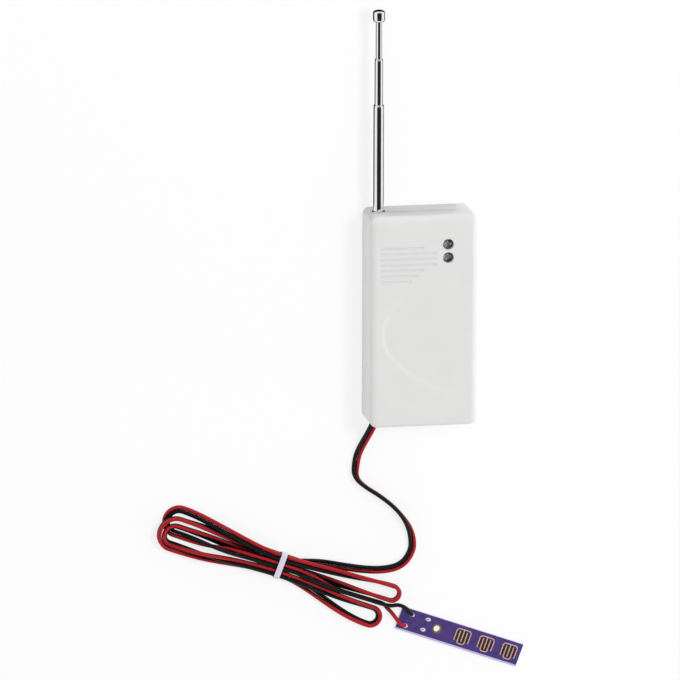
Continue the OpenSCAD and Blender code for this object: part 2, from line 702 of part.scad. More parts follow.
// Address jumpers: a block of three rows of pins, and caps on some of them
module header_pins(gap, h) {
    half = 0.3 + gap;
    for (i = [0:pin_columns - 1], j = [0:pin_rows - 1])
        translate([i * pin_pitch - half, j * pin_pitch - half, 0]) cube([2 * half, 2 * half, h]);
}
module jumper_header() color("#1d1d20") on_main(header_at) {
    translate([-pin_pitch / 2, -pin_pitch / 2, 0]) cube([pin_columns * pin_pitch, pin_rows * pin_pitch, 2]);
    header_pins(0, pin_h);
}
module jumper_caps() color("#2c3b78") on_main(header_at) difference() {
    for (i = [0, 2, 3]) translate([i * pin_pitch - 1.1, (i % 2) * pin_pitch - 1.1, 2.1])
        cube([2.2, 2 * pin_pitch - 0.4, 3.6]);
    header_pins(0.06, pin_h + 0.2);
}

// Antenna tube whose mouth is rolled in to guide the next section
module rolled_tube(r, length, mouth_r) {
    bore = r - tube_t;
    rotate_extrude() polygon([[bore, 0], [r, 0], [r, length - mouth_len / 2], [mouth_r + tube_t, length],
        [mouth_r, length], [mouth_r, length - mouth_len / 2], [bore, length - mouth_len]]);
}

// Fixed tube with a closed foot and a rim on the end wall
module antenna_outer_tube() color("silver") on_antenna(rim_y - outer_len) {
    mouth_r = lower_r + slide_gap;
    rotate_extrude() polygon([[0, 0], [outer_r, 0], [outer_r, outer_len - rim_h], [rim_r, outer_len - rim_h],
        [rim_r, outer_len - 0.3], [rim_r - 0.3, outer_len], [mouth_r, outer_len],
        [mouth_r, outer_len - mouth_len / 2], [outer_r - tube_t, outer_len - mouth_len],
        [outer_r - tube_t, 1], [0, 1]]);
}

// Strap round the fixed tube, with a tab on the board
module antenna_clamp() color("#b8b8ba") difference() {
    strap_r = outer_r + slide_gap + clamp_t;
    union() {
        on_antenna(clamp_y - clamp_len / 2) cylinder(r = strap_r, h = clamp_len);
        translate([antenna_x - 1.2, clamp_y - clamp_len / 2, antenna_z + outer_r])
            cube([2.4, clamp_len, board_top + 0.8 - antenna_z - outer_r]);
        translate([antenna_x - 1.2, clamp_y - clamp_len / 2, board_top])
            cube([clamp_screw[0] + 3 - antenna_x + 1.2, clamp_len, 0.8]);
    }
    on_antenna(clamp_y - clamp_len) cylinder(r = outer_r + slide_gap, h = 2 * clamp_len);
    translate([clamp_screw[0], clamp_screw[1], board_top - cut]) cylinder(d = small_hole_d, h = 3);
}
module antenna_screw() color("silver") translate([clamp_screw[0], clamp_screw[1], board_top + 0.8])
    rotate([180, 0, 0]) pan_screw(board_screw_d, small_head_d, small_head_h, board_t + 2.4);

// Sliding sections, each with a friction sleeve on its inner end
module sleeve(r, outer) {
    difference() {
        cylinder(r = outer - slide_gap, h = sleeve_len);
        translate([0, 0, -cut]) cylinder(r = r + press_gap, h = sleeve_len + 2 * cut);
    }
}
module antenna_lower_tube() color("silver") on_antenna(lower_top - lower_len)
    rolled_tube(lower_r, lower_len, middle_r + slide_gap);
module antenna_lower_sleeve() color("#b08d4a") on_antenna(lower_top - lower_len)
    sleeve(lower_r, outer_r - tube_t);
module antenna_middle_tube() color("silver") on_antenna(middle_top - middle_len)
    rolled_tube(middle_r, middle_len, tip_r + slide_gap);
module antenna_middle_sleeve() color("#b08d4a") on_antenna(middle_top - middle_len)
    sleeve(middle_r, lower_r - tube_t);
module antenna_tip_rod() color("silver") on_antenna(tip_top - tip_len) cylinder(r = tip_r, h = tip_len);
module antenna_tip_sleeve() color("#b08d4a") on_antenna(tip_top - tip_len) sleeve(tip_r, middle_r - tube_t);

// Turned knob: rounded up from the rod, a straight band and a softly domed top
module antenna_knob() color("silver") on_antenna(tip_top) {
    r = knob_d / 2;
    neck = tip_r + 0.3;
    flare = r - neck;
    edge = 0.7;
    dome = 0.4;
    shoulder = knob_len - dome - edge;
    rotate_extrude() polygon(concat([[0, 0]],
        [for (k = [0:4]) let (a = 22.5 * k) [neck + flare * sin(a), flare * (1 - cos(a))]],
        [for (k = [0:4]) let (a = 22.5 * k) [r - edge + edge * cos(a), shoulder + edge * sin(a)]],
        [[(r - edge) / 2, knob_len - dome / 4], [0, knob_len]]));
}

// Block inside the end wall that grips the twin lead
module cord_clip() color("#d0d0ce") translate(lead_origin) difference() {
    width = twin_pitch + wire_d + 2;
    translate([-width / 2, clip_from, wall]) cube([width, clip_len, lead_z - wall + wire_r + 1.2]);
    translate([0, clip_from - cut, lead_z]) rotate([-90, 0, 0]) {
        for (side = [-1, 1])
            translate([side * twin_pitch / 2, 0, 0])
                cylinder(r = wire_r + fit_gap / 2, h = clip_len + 2 * cut);
        translate([-twin_pitch / 2, -wire_r * 0.8, 0]) cube([twin_pitch, wire_d * 0.8, clip_len + 2 * cut]);
    }
}

// Both wires inside the box, from the wall through the clip to the board
module inner_leads() color("#8c2a30") {
    x = lead_pad[0] - exit_x;
    y = housing_l / 2 + lead_pad[1];
    bend_y = 9;
    climb_y = 20;
    rise_y = 8;
    route = smooth_route([[0, lead_start, lead_z, 180], [0, inner_start, lead_z, 180],
        [0, inner_start + 2, lead_z, 180], [2, inner_start + bend_y, lead_z, 180],
        [x - 3, inner_start + climb_y, lead_z + 1.5, 180], [x, y - rise_y, lead_z + 3, 180],
        [x, y - 1.5, board_z - 2, 180], [x, y + 1, board_z - wire_r + 0.15, 180]], 3);
    for (side = [-1, 1]) tube(wire_path(route, side), wire_r, hank_sides);
}

module red_lead_run() color("#b42030") tube(wire_path(run_path, 1), wire_r, lead_sides);
module black_lead_run() color("#1c1c20") tube(wire_path(run_path, -1), wire_r, lead_sides);
module red_lead_hank() color("#b42030") tube(wire_path(hank_path, 1), wire_r, hank_sides);
module black_lead_hank() color("#1c1c20") tube(wire_path(hank_path, -1), wire_r, hank_sides);
module red_lead_tail() color("#b42030") tube(red_tail_path, wire_r, lead_sides);
module black_lead_tail() color("#1c1c20") tube(black_tail_path, wire_r, lead_sides);

// Closed band round the six passes of the hank's waist
module hank_tie() color("#dad6e6") {
    half = column + twin_pitch / 2 + wire_r + tie_gap;
    tall = pair_z(high, 0) + wire_r + tie_gap - tie_t;
    round_r = 1.2;
    translate(lead_origin) translate([hank_at[0], hank_at[1], 0]) rotate([0, 0, hank_turn])
        translate([-tie_w / 2, 0, 0]) rotate([90, 0, 90]) linear_extrude(tie_w) difference() {
            hull() for (x = [-1, 1], y = [0, 1])
                translate([x * (half - round_r), y ? tie_t + tall - round_r : tie_t + round_r])
                    circle(r = round_r + tie_t, $fn = hull_fn);
            hull() for (x = [-1, 1], y = [0, 1])
                translate([x * (half - round_r), y ? tie_t + tall - round_r : tie_t + round_r])
                    circle(r = round_r, $fn = hull_fn);
        }
}

module probe_board() color("#4b377d") on_probe() difference() {
    translate([-probe_l / 2, -probe_w / 2, 0]) cube([probe_l, probe_w, probe_t]);
    translate([eyelet_at[0], eyelet_at[1], -cut])
        cylinder(d = probe_bore_d + 2 * eyelet_wall + 0.1, h = probe_t + 2 * cut);
}

// Two combs whose strips lie between each other
module comb_pair() {
    half = comb_l / 2;
    step = strip_w + strip_gap;
    leg = comb_l - strip_w - strip_gap;
    linear_extrude(copper_t) {
        translate([-comb_w / 2, half - strip_w]) square([comb_w, strip_w]);
        for (i = [0:2:comb_strips - 1])
            translate([-comb_w / 2 + i * step, half - leg]) square([strip_w, leg]);
        translate([-comb_w / 2 + step, -half]) square([comb_w - 2 * step, strip_w]);
        for (i = [1:2:comb_strips - 2])
            translate([-comb_w / 2 + i * step, -half]) square([strip_w, leg]);
    }
}
module probe_electrodes() color("#d8a48c") on_probe() for (i = [0:comb_count - 1])
    translate([comb_first[0] + i * comb_pitch, comb_first[1], probe_t]) comb_pair();

// Plated hole: a barrel through the board with a rim on top
module probe_eyelet() color("#c9a24a") on_probe() translate([eyelet_at[0], eyelet_at[1], 0]) difference() {
    union() {
        cylinder(d = probe_bore_d + 2 * eyelet_wall, h = probe_t + eyelet_rim_h);
        translate([0, 0, probe_t]) cylinder(d = eyelet_rim_d, h = eyelet_rim_h);
    }
    translate([0, 0, -cut]) cylinder(d = probe_bore_d, h = probe_t + 3 * cut);
}

module probe_chips() color("#c4c4c8") on_probe() for (p = chip_at)
    translate([p[0] - chip_size[0] / 2, p[1] - chip_size[1] / 2, probe_t]) cube(chip_size);

// Rounded joint that holds each tail on the probe
module probe_solder() color("silver") on_probe() for (p = [red_joint, black_joint])
    translate([p[0], p[1], probe_t]) rotate_extrude() polygon(concat([[0, 0]],
        [for (k = [0:6]) [solder_r * cos(15 * k), solder_h * sin(15 * k)]]));

front_shell();
rear_shell();
shell_screws();
battery_cover();
battery();
battery_terminals();
battery_snap();
snap_leads();
main_board();
board_screws();
upper_led();
lower_led();
encoder_chip();
saw_resonator();
rf_transistor();
resistors();
disc_capacitors();
reservoir_capacitor();
jumper_header();
jumper_caps();
antenna_outer_tube();
antenna_clamp();
antenna_screw();
antenna_lower_tube();
antenna_lower_sleeve();
antenna_middle_tube();
antenna_middle_sleeve();
antenna_tip_rod();
antenna_tip_sleeve();
antenna_knob();
cord_clip();
inner_leads();
red_lead_run();
black_lead_run();
red_lead_hank();
black_lead_hank();
red_lead_tail();
black_lead_tail();
hank_tie();
probe_board();
probe_electrodes();
probe_eyelet();
probe_chips();
probe_solder();
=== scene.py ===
"""Looks of the water leak sensor: leads, front shell, antenna, lamps, probe, floor, light and camera."""

import math

import bmesh
import bpy
from mathutils import Matrix, Vector


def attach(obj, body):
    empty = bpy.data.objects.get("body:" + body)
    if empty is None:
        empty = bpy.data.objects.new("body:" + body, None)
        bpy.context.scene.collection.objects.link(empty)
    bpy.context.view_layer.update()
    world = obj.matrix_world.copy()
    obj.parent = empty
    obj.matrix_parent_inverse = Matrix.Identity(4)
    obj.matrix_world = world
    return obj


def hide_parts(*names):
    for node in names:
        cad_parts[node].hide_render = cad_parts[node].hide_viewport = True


# Sizes in millimetres, unless a comment says otherwise
MM = 0.001
NEARLY = 1e-6
HOUSING_W = 52
HOUSING_L = 104
HOUSING_D = 25
REAR_H = 12

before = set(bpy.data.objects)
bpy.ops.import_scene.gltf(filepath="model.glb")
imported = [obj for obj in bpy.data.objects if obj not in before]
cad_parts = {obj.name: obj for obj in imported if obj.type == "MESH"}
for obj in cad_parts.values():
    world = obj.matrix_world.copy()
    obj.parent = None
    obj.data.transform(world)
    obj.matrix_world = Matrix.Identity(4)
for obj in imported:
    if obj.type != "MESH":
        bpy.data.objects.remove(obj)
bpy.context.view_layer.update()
scene = bpy.context.scene


# Camera

def make_camera():
    """Camera at the photograph's angle: above the front, a little toward the antenna and the left."""
    aim = Vector((-36.6, -13.4, 0)) * MM
    distance = 8
    view_degrees = 2.34
    roll_radians = 0.0024
    back = Vector((-0.1787, 0.2432, 1)).normalized()
    right = Vector((back.z, 0, -back.x)).normalized()
    up = back.cross(right)
    roll = Matrix.Rotation(roll_radians, 4, "Z")
    data = bpy.data.cameras.new("photo_camera")
    data.sensor_fit = "HORIZONTAL"
    data.angle = math.radians(view_degrees)
    data.clip_start = 0.05
    data.clip_end = 20
    camera = bpy.data.objects.new("photo_camera", data)
    turn = Matrix((right, up, back)).transposed().to_4x4()
    camera.matrix_world = Matrix.Translation(aim + back * distance) @ turn @ roll
    scene.collection.objects.link(camera)
    scene.camera = camera


make_camera()


# Shapes shared by the pieces

def add_object(name, mesh, body="housing"):
    """Links a mesh or curve as a piece that moves with a body."""
    piece = bpy.data.objects.new(name, mesh)
    scene.collection.objects.link(piece)
    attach(piece, body)
    return piece


def mesh_from(name, points, faces, smooth_angle=40):
    """Mesh from points in metres, smooth but for edges sharper than an angle."""
    mesh = bpy.data.meshes.new(name)
    mesh.from_pydata([tuple(p) for p in points], [], faces)
    finish_mesh(mesh, smooth_angle)
    return mesh


def finish_mesh(mesh, smooth_angle=40):
    """Turns normals outward and sets smooth shading."""
    work = bmesh.new()
    work.from_mesh(mesh)
    bmesh.ops.remove_doubles(work, verts=work.verts, dist=1e-7)
    bmesh.ops.recalc_face_normals(work, faces=work.faces)
    work.to_mesh(mesh)
    work.free()
    mesh.shade_smooth()
    mesh.set_sharp_from_angle(angle=math.radians(smooth_angle))


def band_faces(rings, steps, closed=False):
    """Faces that join each ring of points to the next and, if closed, the last to the first."""
    faces = []
    for i in range(rings if closed else rings - 1):
        j = (i + 1) % rings
        for k in range(steps):
            n = (k + 1) % steps
            faces.append((i * steps + k, i * steps + n, j * steps + n, j * steps + k))
    return faces


def revolve(profile, place, steps):
    """Profile of (radius, height) turned about an axis; place puts x, y and height in space."""
    points = []
    for radius, height in profile:
        for k in range(steps):
            a = 2 * math.pi * k / steps
            points.append(place(radius * math.cos(a), radius * math.sin(a), height))
    return points, band_faces(len(profile), steps)


def arc(centre_r, centre_h, r, start, end, steps):
    """Part of a circle in a profile, with angles in degrees."""
    turns = [math.radians(start + (end - start) * k / steps) for k in range(steps + 1)]
    return [(centre_r + r * math.cos(a), centre_h + r * math.sin(a)) for a in turns]


# Materials

class Shader:
    """A node material with its shader and short ways to add nodes."""

    def __init__(self, name, colour, roughness, **values):
        self.material = bpy.data.materials.new(name)
        self.material.use_nodes = True
        self.nodes = self.material.node_tree.nodes
        self.links = self.material.node_tree.links
        self.surface = self.nodes["Principled BSDF"]
        self.surface.inputs["Base Color"].default_value = (*colour, 1)
        self.surface.inputs["Roughness"].default_value = roughness
        for key, value in values.items():
            self.surface.inputs[key.replace("_", " ")].default_value = value
        self.place = self.nodes.new("ShaderNodeTexCoord").outputs["Object"]

    def link(self, source, node, key):
        self.links.new(source, node.inputs[key])

    def noise(self, size_mm, detail=2.0):
        """Noise whose spots are about so many millimetres across."""
        node = self.nodes.new("ShaderNodeTexNoise")
        node.inputs["Scale"].default_value = 1 / (size_mm * MM)
        node.inputs["Detail"].default_value = detail
        self.link(self.place, node, "Vector")
        return node.outputs["Fac"]

    def spots(self, size_mm, low, high, detail=2.0):
        """Colour that wanders between two colours in soft spots."""
        node = self.nodes.new("ShaderNodeValToRGB")
        ends = node.color_ramp.elements
        ends[0].position = 0.3
        ends[0].color = (*low, 1)
        ends[1].position = 0.7
        ends[1].color = (*high, 1)
        self.link(self.noise(size_mm, detail), node, "Fac")
        return node.outputs["Color"]

    def math(self, operation, a, b=None):
        """Arithmetic on sockets and numbers."""
        node = self.nodes.new("ShaderNodeMath")
        node.operation = operation
        for key, value in ((0, a), (1, b)):
            if isinstance(value, (int, float)):
                node.inputs[key].default_value = value
            elif value is not None:
                self.link(value, node, key)
        return node.outputs[0]

    def mix(self, share, first, second):
        """Mix of two colours, each a socket or a plain colour."""
        node = self.nodes.new("ShaderNodeMix")
        node.data_type = "RGBA"
        self.links.new(share, node.inputs[0])
        for key, value in ((6, first), (7, second)):
            if isinstance(value, tuple):
                node.inputs[key].default_value = (*value, 1)
            else:
                self.links.new(value, node.inputs[key])
        return node.outputs[2]

    def tone(self, size_mm, low, high):
        """Base colour that wanders between two colours in soft spots."""
        colour = self.spots(size_mm, low, high)
        self.link(colour, self.surface, "Base Color")
        return colour

    def paint_crevice_shade(self, colour, dark, reach_mm):
        """Painted shade: base colour that falls to a dark tone where other surfaces are close."""
        near = self.nodes.new("ShaderNodeAmbientOcclusion")
        near.samples = 8
        near.inputs["Distance"].default_value = reach_mm * MM
        open_share = self.nodes.new("ShaderNodeMapRange")
        open_share.inputs["From Min"].default_value = 0.6
        open_share.inputs["From Max"].default_value = 1.0
        self.link(near.outputs["AO"], open_share, "Value")
        self.link(self.mix(open_share.outputs["Result"], dark, colour), self.surface, "Base Color")

    def gloss(self, size_mm, low, high):
        """Roughness that wanders between two values in spots."""
        node = self.nodes.new("ShaderNodeMapRange")
        node.inputs["To Min"].default_value = low
        node.inputs["To Max"].default_value = high
        self.link(self.noise(size_mm, detail=3.0), node, "Value")
        self.link(node.outputs["Result"], self.surface, "Roughness")

    def bump(self, height, strength, depth_mm):
        """Small relief from a height."""
        node = self.nodes.new("ShaderNodeBump")
        node.inputs["Strength"].default_value = strength
        node.inputs["Distance"].default_value = depth_mm * MM
        self.link(height, node, "Height")
        self.link(node.outputs["Normal"], self.surface, "Normal")


def grey(value):
    """Colour without a hue."""
    return (value, value, value)


TONE_SPOT = 14
GLOSS_SPOT = 5
GRAIN_DEPTH = 0.05
# Reach of the painted shade in narrow hollows and between strands
HOLLOW_SHADE_REACH = 1.5
STRAND_SHADE_REACH = 4


def plastic(name, low, high, roughness, grain_mm=0.35, grain=0.12, specular=0.5, hollow_shade=None):
    """Moulded plastic with a fine grain, a slight change of tone and, if asked, painted shade that darkens
    narrow hollows.
    """
    shader = Shader(name, high, roughness, Specular_IOR_Level=specular)
    colour = shader.tone(TONE_SPOT, low, high)
    # Painted shade: narrow hollows fall toward the given dark colour
    if hollow_shade:
        shader.paint_crevice_shade(colour, hollow_shade, HOLLOW_SHADE_REACH)
    shader.gloss(GLOSS_SPOT, roughness - 0.04, roughness + 0.05)
    shader.bump(shader.noise(grain_mm), grain, GRAIN_DEPTH)
    return shader


def metal(name, low, high, roughness, scratch_mm=1.2, metallic=1.0):
    """Metal with soft changes of tone and gloss."""
    shader = Shader(name, high, roughness, Metallic=metallic)
    shader.tone(scratch_mm * 4, low, high)
    shader.gloss(scratch_mm, max(0.02, roughness - 0.03), roughness + 0.04)
    shader.bump(shader.noise(scratch_mm / 3), strength=0.04, depth_mm=0.02)
    return shader


def wire(name, low, high, dark):
    """Soft wire jacket with painted shade, darker where strands lie close together."""
    shader = Shader(name, high, 0.4, Specular_IOR_Level=0.22)
    # Painted shade where strands and the floor lie close
    shader.paint_crevice_shade(shader.tone(TONE_SPOT, low, high), dark, STRAND_SHADE_REACH)
    shader.gloss(GLOSS_SPOT, low=0.36, high=0.45)
    shader.bump(shader.noise(0.6), strength=0.1, depth_mm=GRAIN_DEPTH)
    return shader


SHELL_TONES = ((0.755, 0.755, 0.75), (0.775, 0.775, 0.77))
# The front shell gets painted shade in its grooves and other narrow hollows
white = plastic("housing_white", *SHELL_TONES, 0.42, grain_mm=0.3, grain=0.06, specular=0.3,
                hollow_shade=grey(0.65))
rear_white = plastic("rear_white", *SHELL_TONES, 0.45, grain_mm=0.3, grain=0.08, specular=0.3)
black_plastic = plastic("black_plastic", (0.018, 0.018, 0.02), (0.028, 0.028, 0.03), 0.5)
jumper_blue = plastic("jumper_blue", (0.02, 0.05, 0.22), (0.03, 0.07, 0.28), 0.45)
inner_wire = plastic("inner_wire", (0.32, 0.02, 0.03), (0.4, 0.03, 0.04), 0.4)
battery_jacket = plastic("battery_jacket", (0.03, 0.032, 0.036), (0.05, 0.052, 0.058), 0.35)
resistor_body = plastic("resistor_body", (0.42, 0.28, 0.15), (0.5, 0.34, 0.18), 0.4)
disc_brown = plastic("disc_brown", (0.4, 0.17, 0.04), (0.48, 0.22, 0.06), 0.4)
sleeve_blue = plastic("sleeve_blue", (0.02, 0.035, 0.1), (0.03, 0.045, 0.13), 0.35)
green_board = plastic("green_board", (0.015, 0.12, 0.04), (0.03, 0.17, 0.06), 0.35, grain_mm=0.8, grain=0.1)
tie_plastic = plastic("tie_plastic", (0.66, 0.64, 0.76), (0.74, 0.72, 0.83), 0.5, grain_mm=0.5, grain=0.15)
# The last colour of each wire is its painted shade between strands
red_wire = wire("red_wire", (0.38, 0.009, 0.015), (0.45, 0.012, 0.021), (0.02, 0.001, 0.001))
black_wire = wire("black_wire", (0.007, 0.006, 0.008), (0.012, 0.01, 0.012), (0.001, 0.001, 0.001))
chrome = metal("antenna_chrome", (0.82, 0.82, 0.83), (0.88, 0.88, 0.89), 0.06)
steel = metal("screw_steel", (0.6, 0.6, 0.61), (0.7, 0.7, 0.71), 0.28)
brass = metal("sleeve_brass", (0.62, 0.44, 0.18), (0.7, 0.52, 0.24), 0.28)
solder = metal("solder", (0.75, 0.75, 0.78), (0.88, 0.88, 0.9), 0.3, scratch_mm=0.6, metallic=0.55)
copper = metal("eyelet_copper", (0.3, 0.16, 0.12), (0.45, 0.27, 0.2), 0.35, scratch_mm=0.5, metallic=0.6)
gold = metal("probe_gold", (0.76, 0.5, 0.4), (0.85, 0.6, 0.5), 0.42, scratch_mm=0.5, metallic=0.35)

cad_looks = {
    "rear_shell": rear_white, "battery_cover": rear_white, "cord_clip": rear_white,
    "shell_screws": steel, "board_screws": steel, "antenna_screw": steel, "antenna_clamp": steel,
    "battery_terminals": steel, "saw_resonator": steel, "battery": battery_jacket,
    "battery_snap": black_plastic, "encoder_chip": black_plastic, "rf_transistor": black_plastic,
    "jumper_header": black_plastic, "jumper_caps": jumper_blue, "snap_leads": inner_wire,
    "inner_leads": inner_wire, "main_board": green_board, "resistors": resistor_body,
    "disc_capacitors": disc_brown, "reservoir_capacitor": sleeve_blue, "antenna_lower_sleeve": brass,
    "antenna_middle_sleeve": brass, "antenna_tip_sleeve": brass, "probe_eyelet": copper,
}


def dress(node, shader):
    """Gives a CAD piece a material."""
    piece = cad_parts[node]
    if not piece.material_slots:
        piece.data.materials.append(None)
    for slot in piece.material_slots:
        slot.material = shader.material


for node_name, look in cad_looks.items():
    dress(node_name, look)


# Red and black leads, along the route of the solids to within the width of a wire

WIRE_D = 1.8
LOOK_D = 1.96
TWIN_PITCH = 2.0
FLOOR_GAP = 0.05
LEAD_Z = 7
LEAD_ORIGIN = Vector((-21, -52, 0))
RUN_POINTS = [
    # x, y, height, turn of the pair in degrees
    (0, 6, LEAD_Z, 0), (0, 2, LEAD_Z, 0), (-0.5, -2, LEAD_Z, 0), (-2.1, -6, 6, 0), (-4.2, -11, 3.6, 0),
    (-5.8, -15, 1.8, 0), (-7.2, -19, 1.1, 0), (-8.1, -24, 1.3, -10), (-8.2, -27.5, 1.75, -40),
    (-6.6, -31, 2.05, -75), (-2.5, -34.7, 2.1, -90), (3.5, -38.8, 2.1, -90), (10, -44.2, 2.1, -90),
    (15, -50, 2.1, -80), (18.4, -56.2, 1.8, -45), (19.8, -62.7, 1.3, -10), (19.1, -67.5, 1.1, 0),
    (16, -72.2, 1.1, 0), (11.2, -74.9, 1.1, 0), (4, -75.8, 1.1, 0), (-4.2, -75.2, 1.1, 0),
    (-12.8, -73.7, 1.1, 0), (-24.9, -71.3, 1.2, 0),
]
HANK_AT = (-45.3, -71)
HANK_TURN = math.radians(-20.5)
HANK_LEAD = 9
SETTLE_START = 0.62
TWIST_START = 0.25
TIE_T = 0.6
TIE_W = 2.8
TIE_GAP = 0.25
COLUMN = TWIN_PITCH + WIRE_D + 0.2
LOW = TIE_T + TIE_GAP - FLOOR_GAP
HIGH = LOW + WIRE_D + 0.5
# Across, height and turn of the pair each time it passes the waist
HANK_SLOTS = [(COLUMN, LOW, 0), (-COLUMN, LOW, 180), (-COLUMN, HIGH, 180), (0, LOW, 0), (COLUMN, HIGH, 180),
              (0, HIGH, 360)]
# Side, hand, reach, middle across, radius, lift on the way out and back, turn
HANK_FOLDS = [(-1, 1, 62, -1.5, 8, 2.3, 0, 90), (1, -1, 55.6, -10.1, 4.2, 0, 0, 120),
              (-1, -1, 59.2, -2.1, 4.8, 0, 2.3, 60), (1, -1, 61, 3.8, 3.6, 0, 0, 90),
              (-1, 1, 60.2, 4.5, 6.1, 0, 0, 180)]
# Along the hank, across it, height and turn
TAIL_POINTS = [(18, -0.9, 4.7, 330), (26, -1.9, 4.7, 275), (33, -2.5, 4, 270), (40, -2.6, 3, 270),
               (48, -2.6, 2.1, 270), (55, -2.5, 2.1, 270)]
# x, y and height where each wire goes its own way
RED_END = [(7.6, -95, 1.1), (9.8, -97.4, 1.6), (11.6, -99.8, 2.7), (13.6, -102.4, 3.2)]
BLACK_END = [(9.2, -93.45, 3.0), (12.8, -93.3, 3.2), (16.4, -94.9, 3.5)]
PROBE_L = 63
PROBE_W = 11.5
PROBE_T = 1.6
PROBE_AT = (43, -110.7)
PROBE_TURN = math.radians(-20)
RED_JOINT = (-PROBE_L / 2 + 4.1, -2.9)
BLACK_JOINT = (-PROBE_L / 2 + 5.5, 3.3)
ROUTE_STEPS = 8
ENTRY_STEPS = 4
RUN_STEPS = 22
BEND_STEPS = 24


def ease(u):
    """Smooth step from 0 to 1."""
    v = min(1.0, max(0.0, u))
    return v * v * (3 - 2 * v)


def mixed(a, b, share):
    """Value between two others."""
    return a + (b - a) * share


def smooth_route(points, steps):
    """Smooth curve through points, with some steps between each two."""
    rows = [Vector(p) for p in points]
    last = len(rows) - 1
    route = []
    for i in range(last):
        a, b, c, d = rows[max(i - 1, 0)], rows[i], rows[i + 1], rows[min(i + 2, last)]
        for j in range(steps):
            u = j / steps
            route.append(0.5 * (2 * b + (c - a) * u + (2 * a - 5 * b + 4 * c - d) * u ** 2
                                + (3 * b - a - 3 * c + d) * u ** 3))
    route.append(rows[last])
    return route


def turned(at, turn, x, y):
    """A place turned and moved into the lead frame."""
    c, d = math.cos(turn), math.sin(turn)
    return at[0] + x * c - y * d, at[1] + x * d + y * c


def from_hank(s, t, z, turn):
    """A place in the hank's axes, moved to the lead frame."""
    return Vector((*turned(HANK_AT, HANK_TURN, s, t), z, turn))


def pair_z(height, turn):
    """Height of the pair's middle, which rises as the pair turns on edge."""
    return WIRE_D / 2 + FLOOR_GAP + height + abs(math.sin(math.radians(turn))) * TWIN_PITCH / 2


def fold_run(u, slot, side, length, end_t, lift, turn):
    """Point of a run from a slot of the waist toward a round end."""
    return (side * length * u, mixed(slot[0], end_t, ease(u)),
            mixed(slot[1], lift, ease((u - SETTLE_START) / (1 - SETTLE_START))),
            mixed(slot[2], turn, ease((u - TWIST_START) / (1 - TWIST_START))))


def fold_path(k):
    """One fold of the hank, from a slot round its end and back to the next slot."""
    side, hand, reach, end_t, radius, lift_out, lift_back, turn = HANK_FOLDS[k]
    length = reach - radius
    there = [fold_run(i / RUN_STEPS, HANK_SLOTS[k], side, length, end_t + hand * radius, lift_out, turn)
             for i in range(RUN_STEPS)]
    bend = []
    for i in range(BEND_STEPS + 1):
        a = math.pi * i / BEND_STEPS
        half_way = 2 * i / BEND_STEPS - (1 if hand > 0 else 0)
        bend.append((side * (length + radius * math.sin(a)), end_t + hand * radius * math.cos(a),
                     mixed(lift_out, lift_back, ease(half_way)), turn))
    back = [fold_run(i / RUN_STEPS, HANK_SLOTS[k + 1], side, length, end_t - hand * radius, lift_back, turn)
            for i in range(RUN_STEPS - 1, 0, -1)]
    return there + bend + back


def hank_path():
    """The twin lead's middle through all the folds, in the lead frame."""
    first, last = HANK_SLOTS[0], HANK_SLOTS[-1]
    local = [(HANK_LEAD * (1 - i / ENTRY_STEPS), *first) for i in range(ENTRY_STEPS)]
    for k in range(len(HANK_FOLDS)):
        local += fold_path(k)
    local += [(HANK_LEAD * i / ENTRY_STEPS, *last) for i in range(ENTRY_STEPS + 1)]
    return [from_hank(s, t, pair_z(height, turn), turn) for s, t, height, turn in local]


def wire_path(path, side):
    """One wire of the twin: the pair's path shifted to one side by its turn."""
    wire = []
    last = len(path) - 1
    for i, p in enumerate(path):
        along = (path[min(i + 1, last)].xyz - path[max(i - 1, 0)].xyz).normalized()
        left = Vector((0, 0, 1)).cross(along).normalized()
        up = along.cross(left)
        turn = math.radians(p[3])
        wire.append(p.xyz + side * TWIN_PITCH / 2 * (left * math.cos(turn) + up * math.sin(turn)))
    return wire


def on_board(p, z):
    """A place on the probe board, in the lead frame."""
    return Vector((*turned(PROBE_AT, PROBE_TURN, *p), z))


def lead_points(side, own_end, joint):
    """Centre line of one wire from inside the box to its solder joint, in metres."""
    hank = hank_path()
    run = smooth_route([*RUN_POINTS, hank[0]], ROUTE_STEPS)
    tail = [hank[-1], *[from_hank(*p) for p in TAIL_POINTS]]
    end = on_board(joint, PROBE_T + WIRE_D / 2 + FLOOR_GAP)
    tail_wire = smooth_route([*wire_path(tail, side), *[Vector(p) for p in own_end], end], ROUTE_STEPS)
    line = wire_path(run[:-1] + hank, side)[:-1] + tail_wire
    return [(LEAD_ORIGIN + p) * MM for p in line]


def length_of(line):
    """Length along a line of points."""
    return sum((b - a).length for a, b in zip(line, line[1:]))


def make_lead(name, side, own_end, joint, shader, nodes):
    """One wire as a round cord."""
    line = lead_points(side, own_end, joint)
    curve = bpy.data.curves.new(name, "CURVE")
    curve.dimensions = "3D"
    curve.bevel_depth = LOOK_D / 2 * MM
    curve.bevel_resolution = 5
    curve.use_fill_caps = True
    spline = curve.splines.new("POLY")
    spline.points.add(len(line) - 1)
    for point, p in zip(spline.points, line):
        point.co = (*p, 1)
    spline.use_smooth = True
    curve.materials.append(shader.material)
    lead = add_object(name, curve)
    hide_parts(*nodes)
    round(length_of(line), 3)
    return lead


red_lead = make_lead("red_lead", 1, RED_END, RED_JOINT, red_wire,
                     ["red_lead_run", "red_lead_hank", "red_lead_tail"])
black_lead = make_lead("black_lead", -1, BLACK_END, BLACK_JOINT, black_wire,
                       ["black_lead_run", "black_lead_hank", "black_lead_tail"])


# Tie round the hank: a band with a raised rib along its middle

TIE_CORNER = 1.2
TIE_STEPS = 8
BAND_T = 0.42
BAND_EDGE = 0.15
BAND_SIDE = 0.3
BAND_FOOT = 0.05
BAND_CHAMFER = 0.1
RIB_T = 0.58
RIB_FOOT = 0.5
RIB_TOP = 0.3


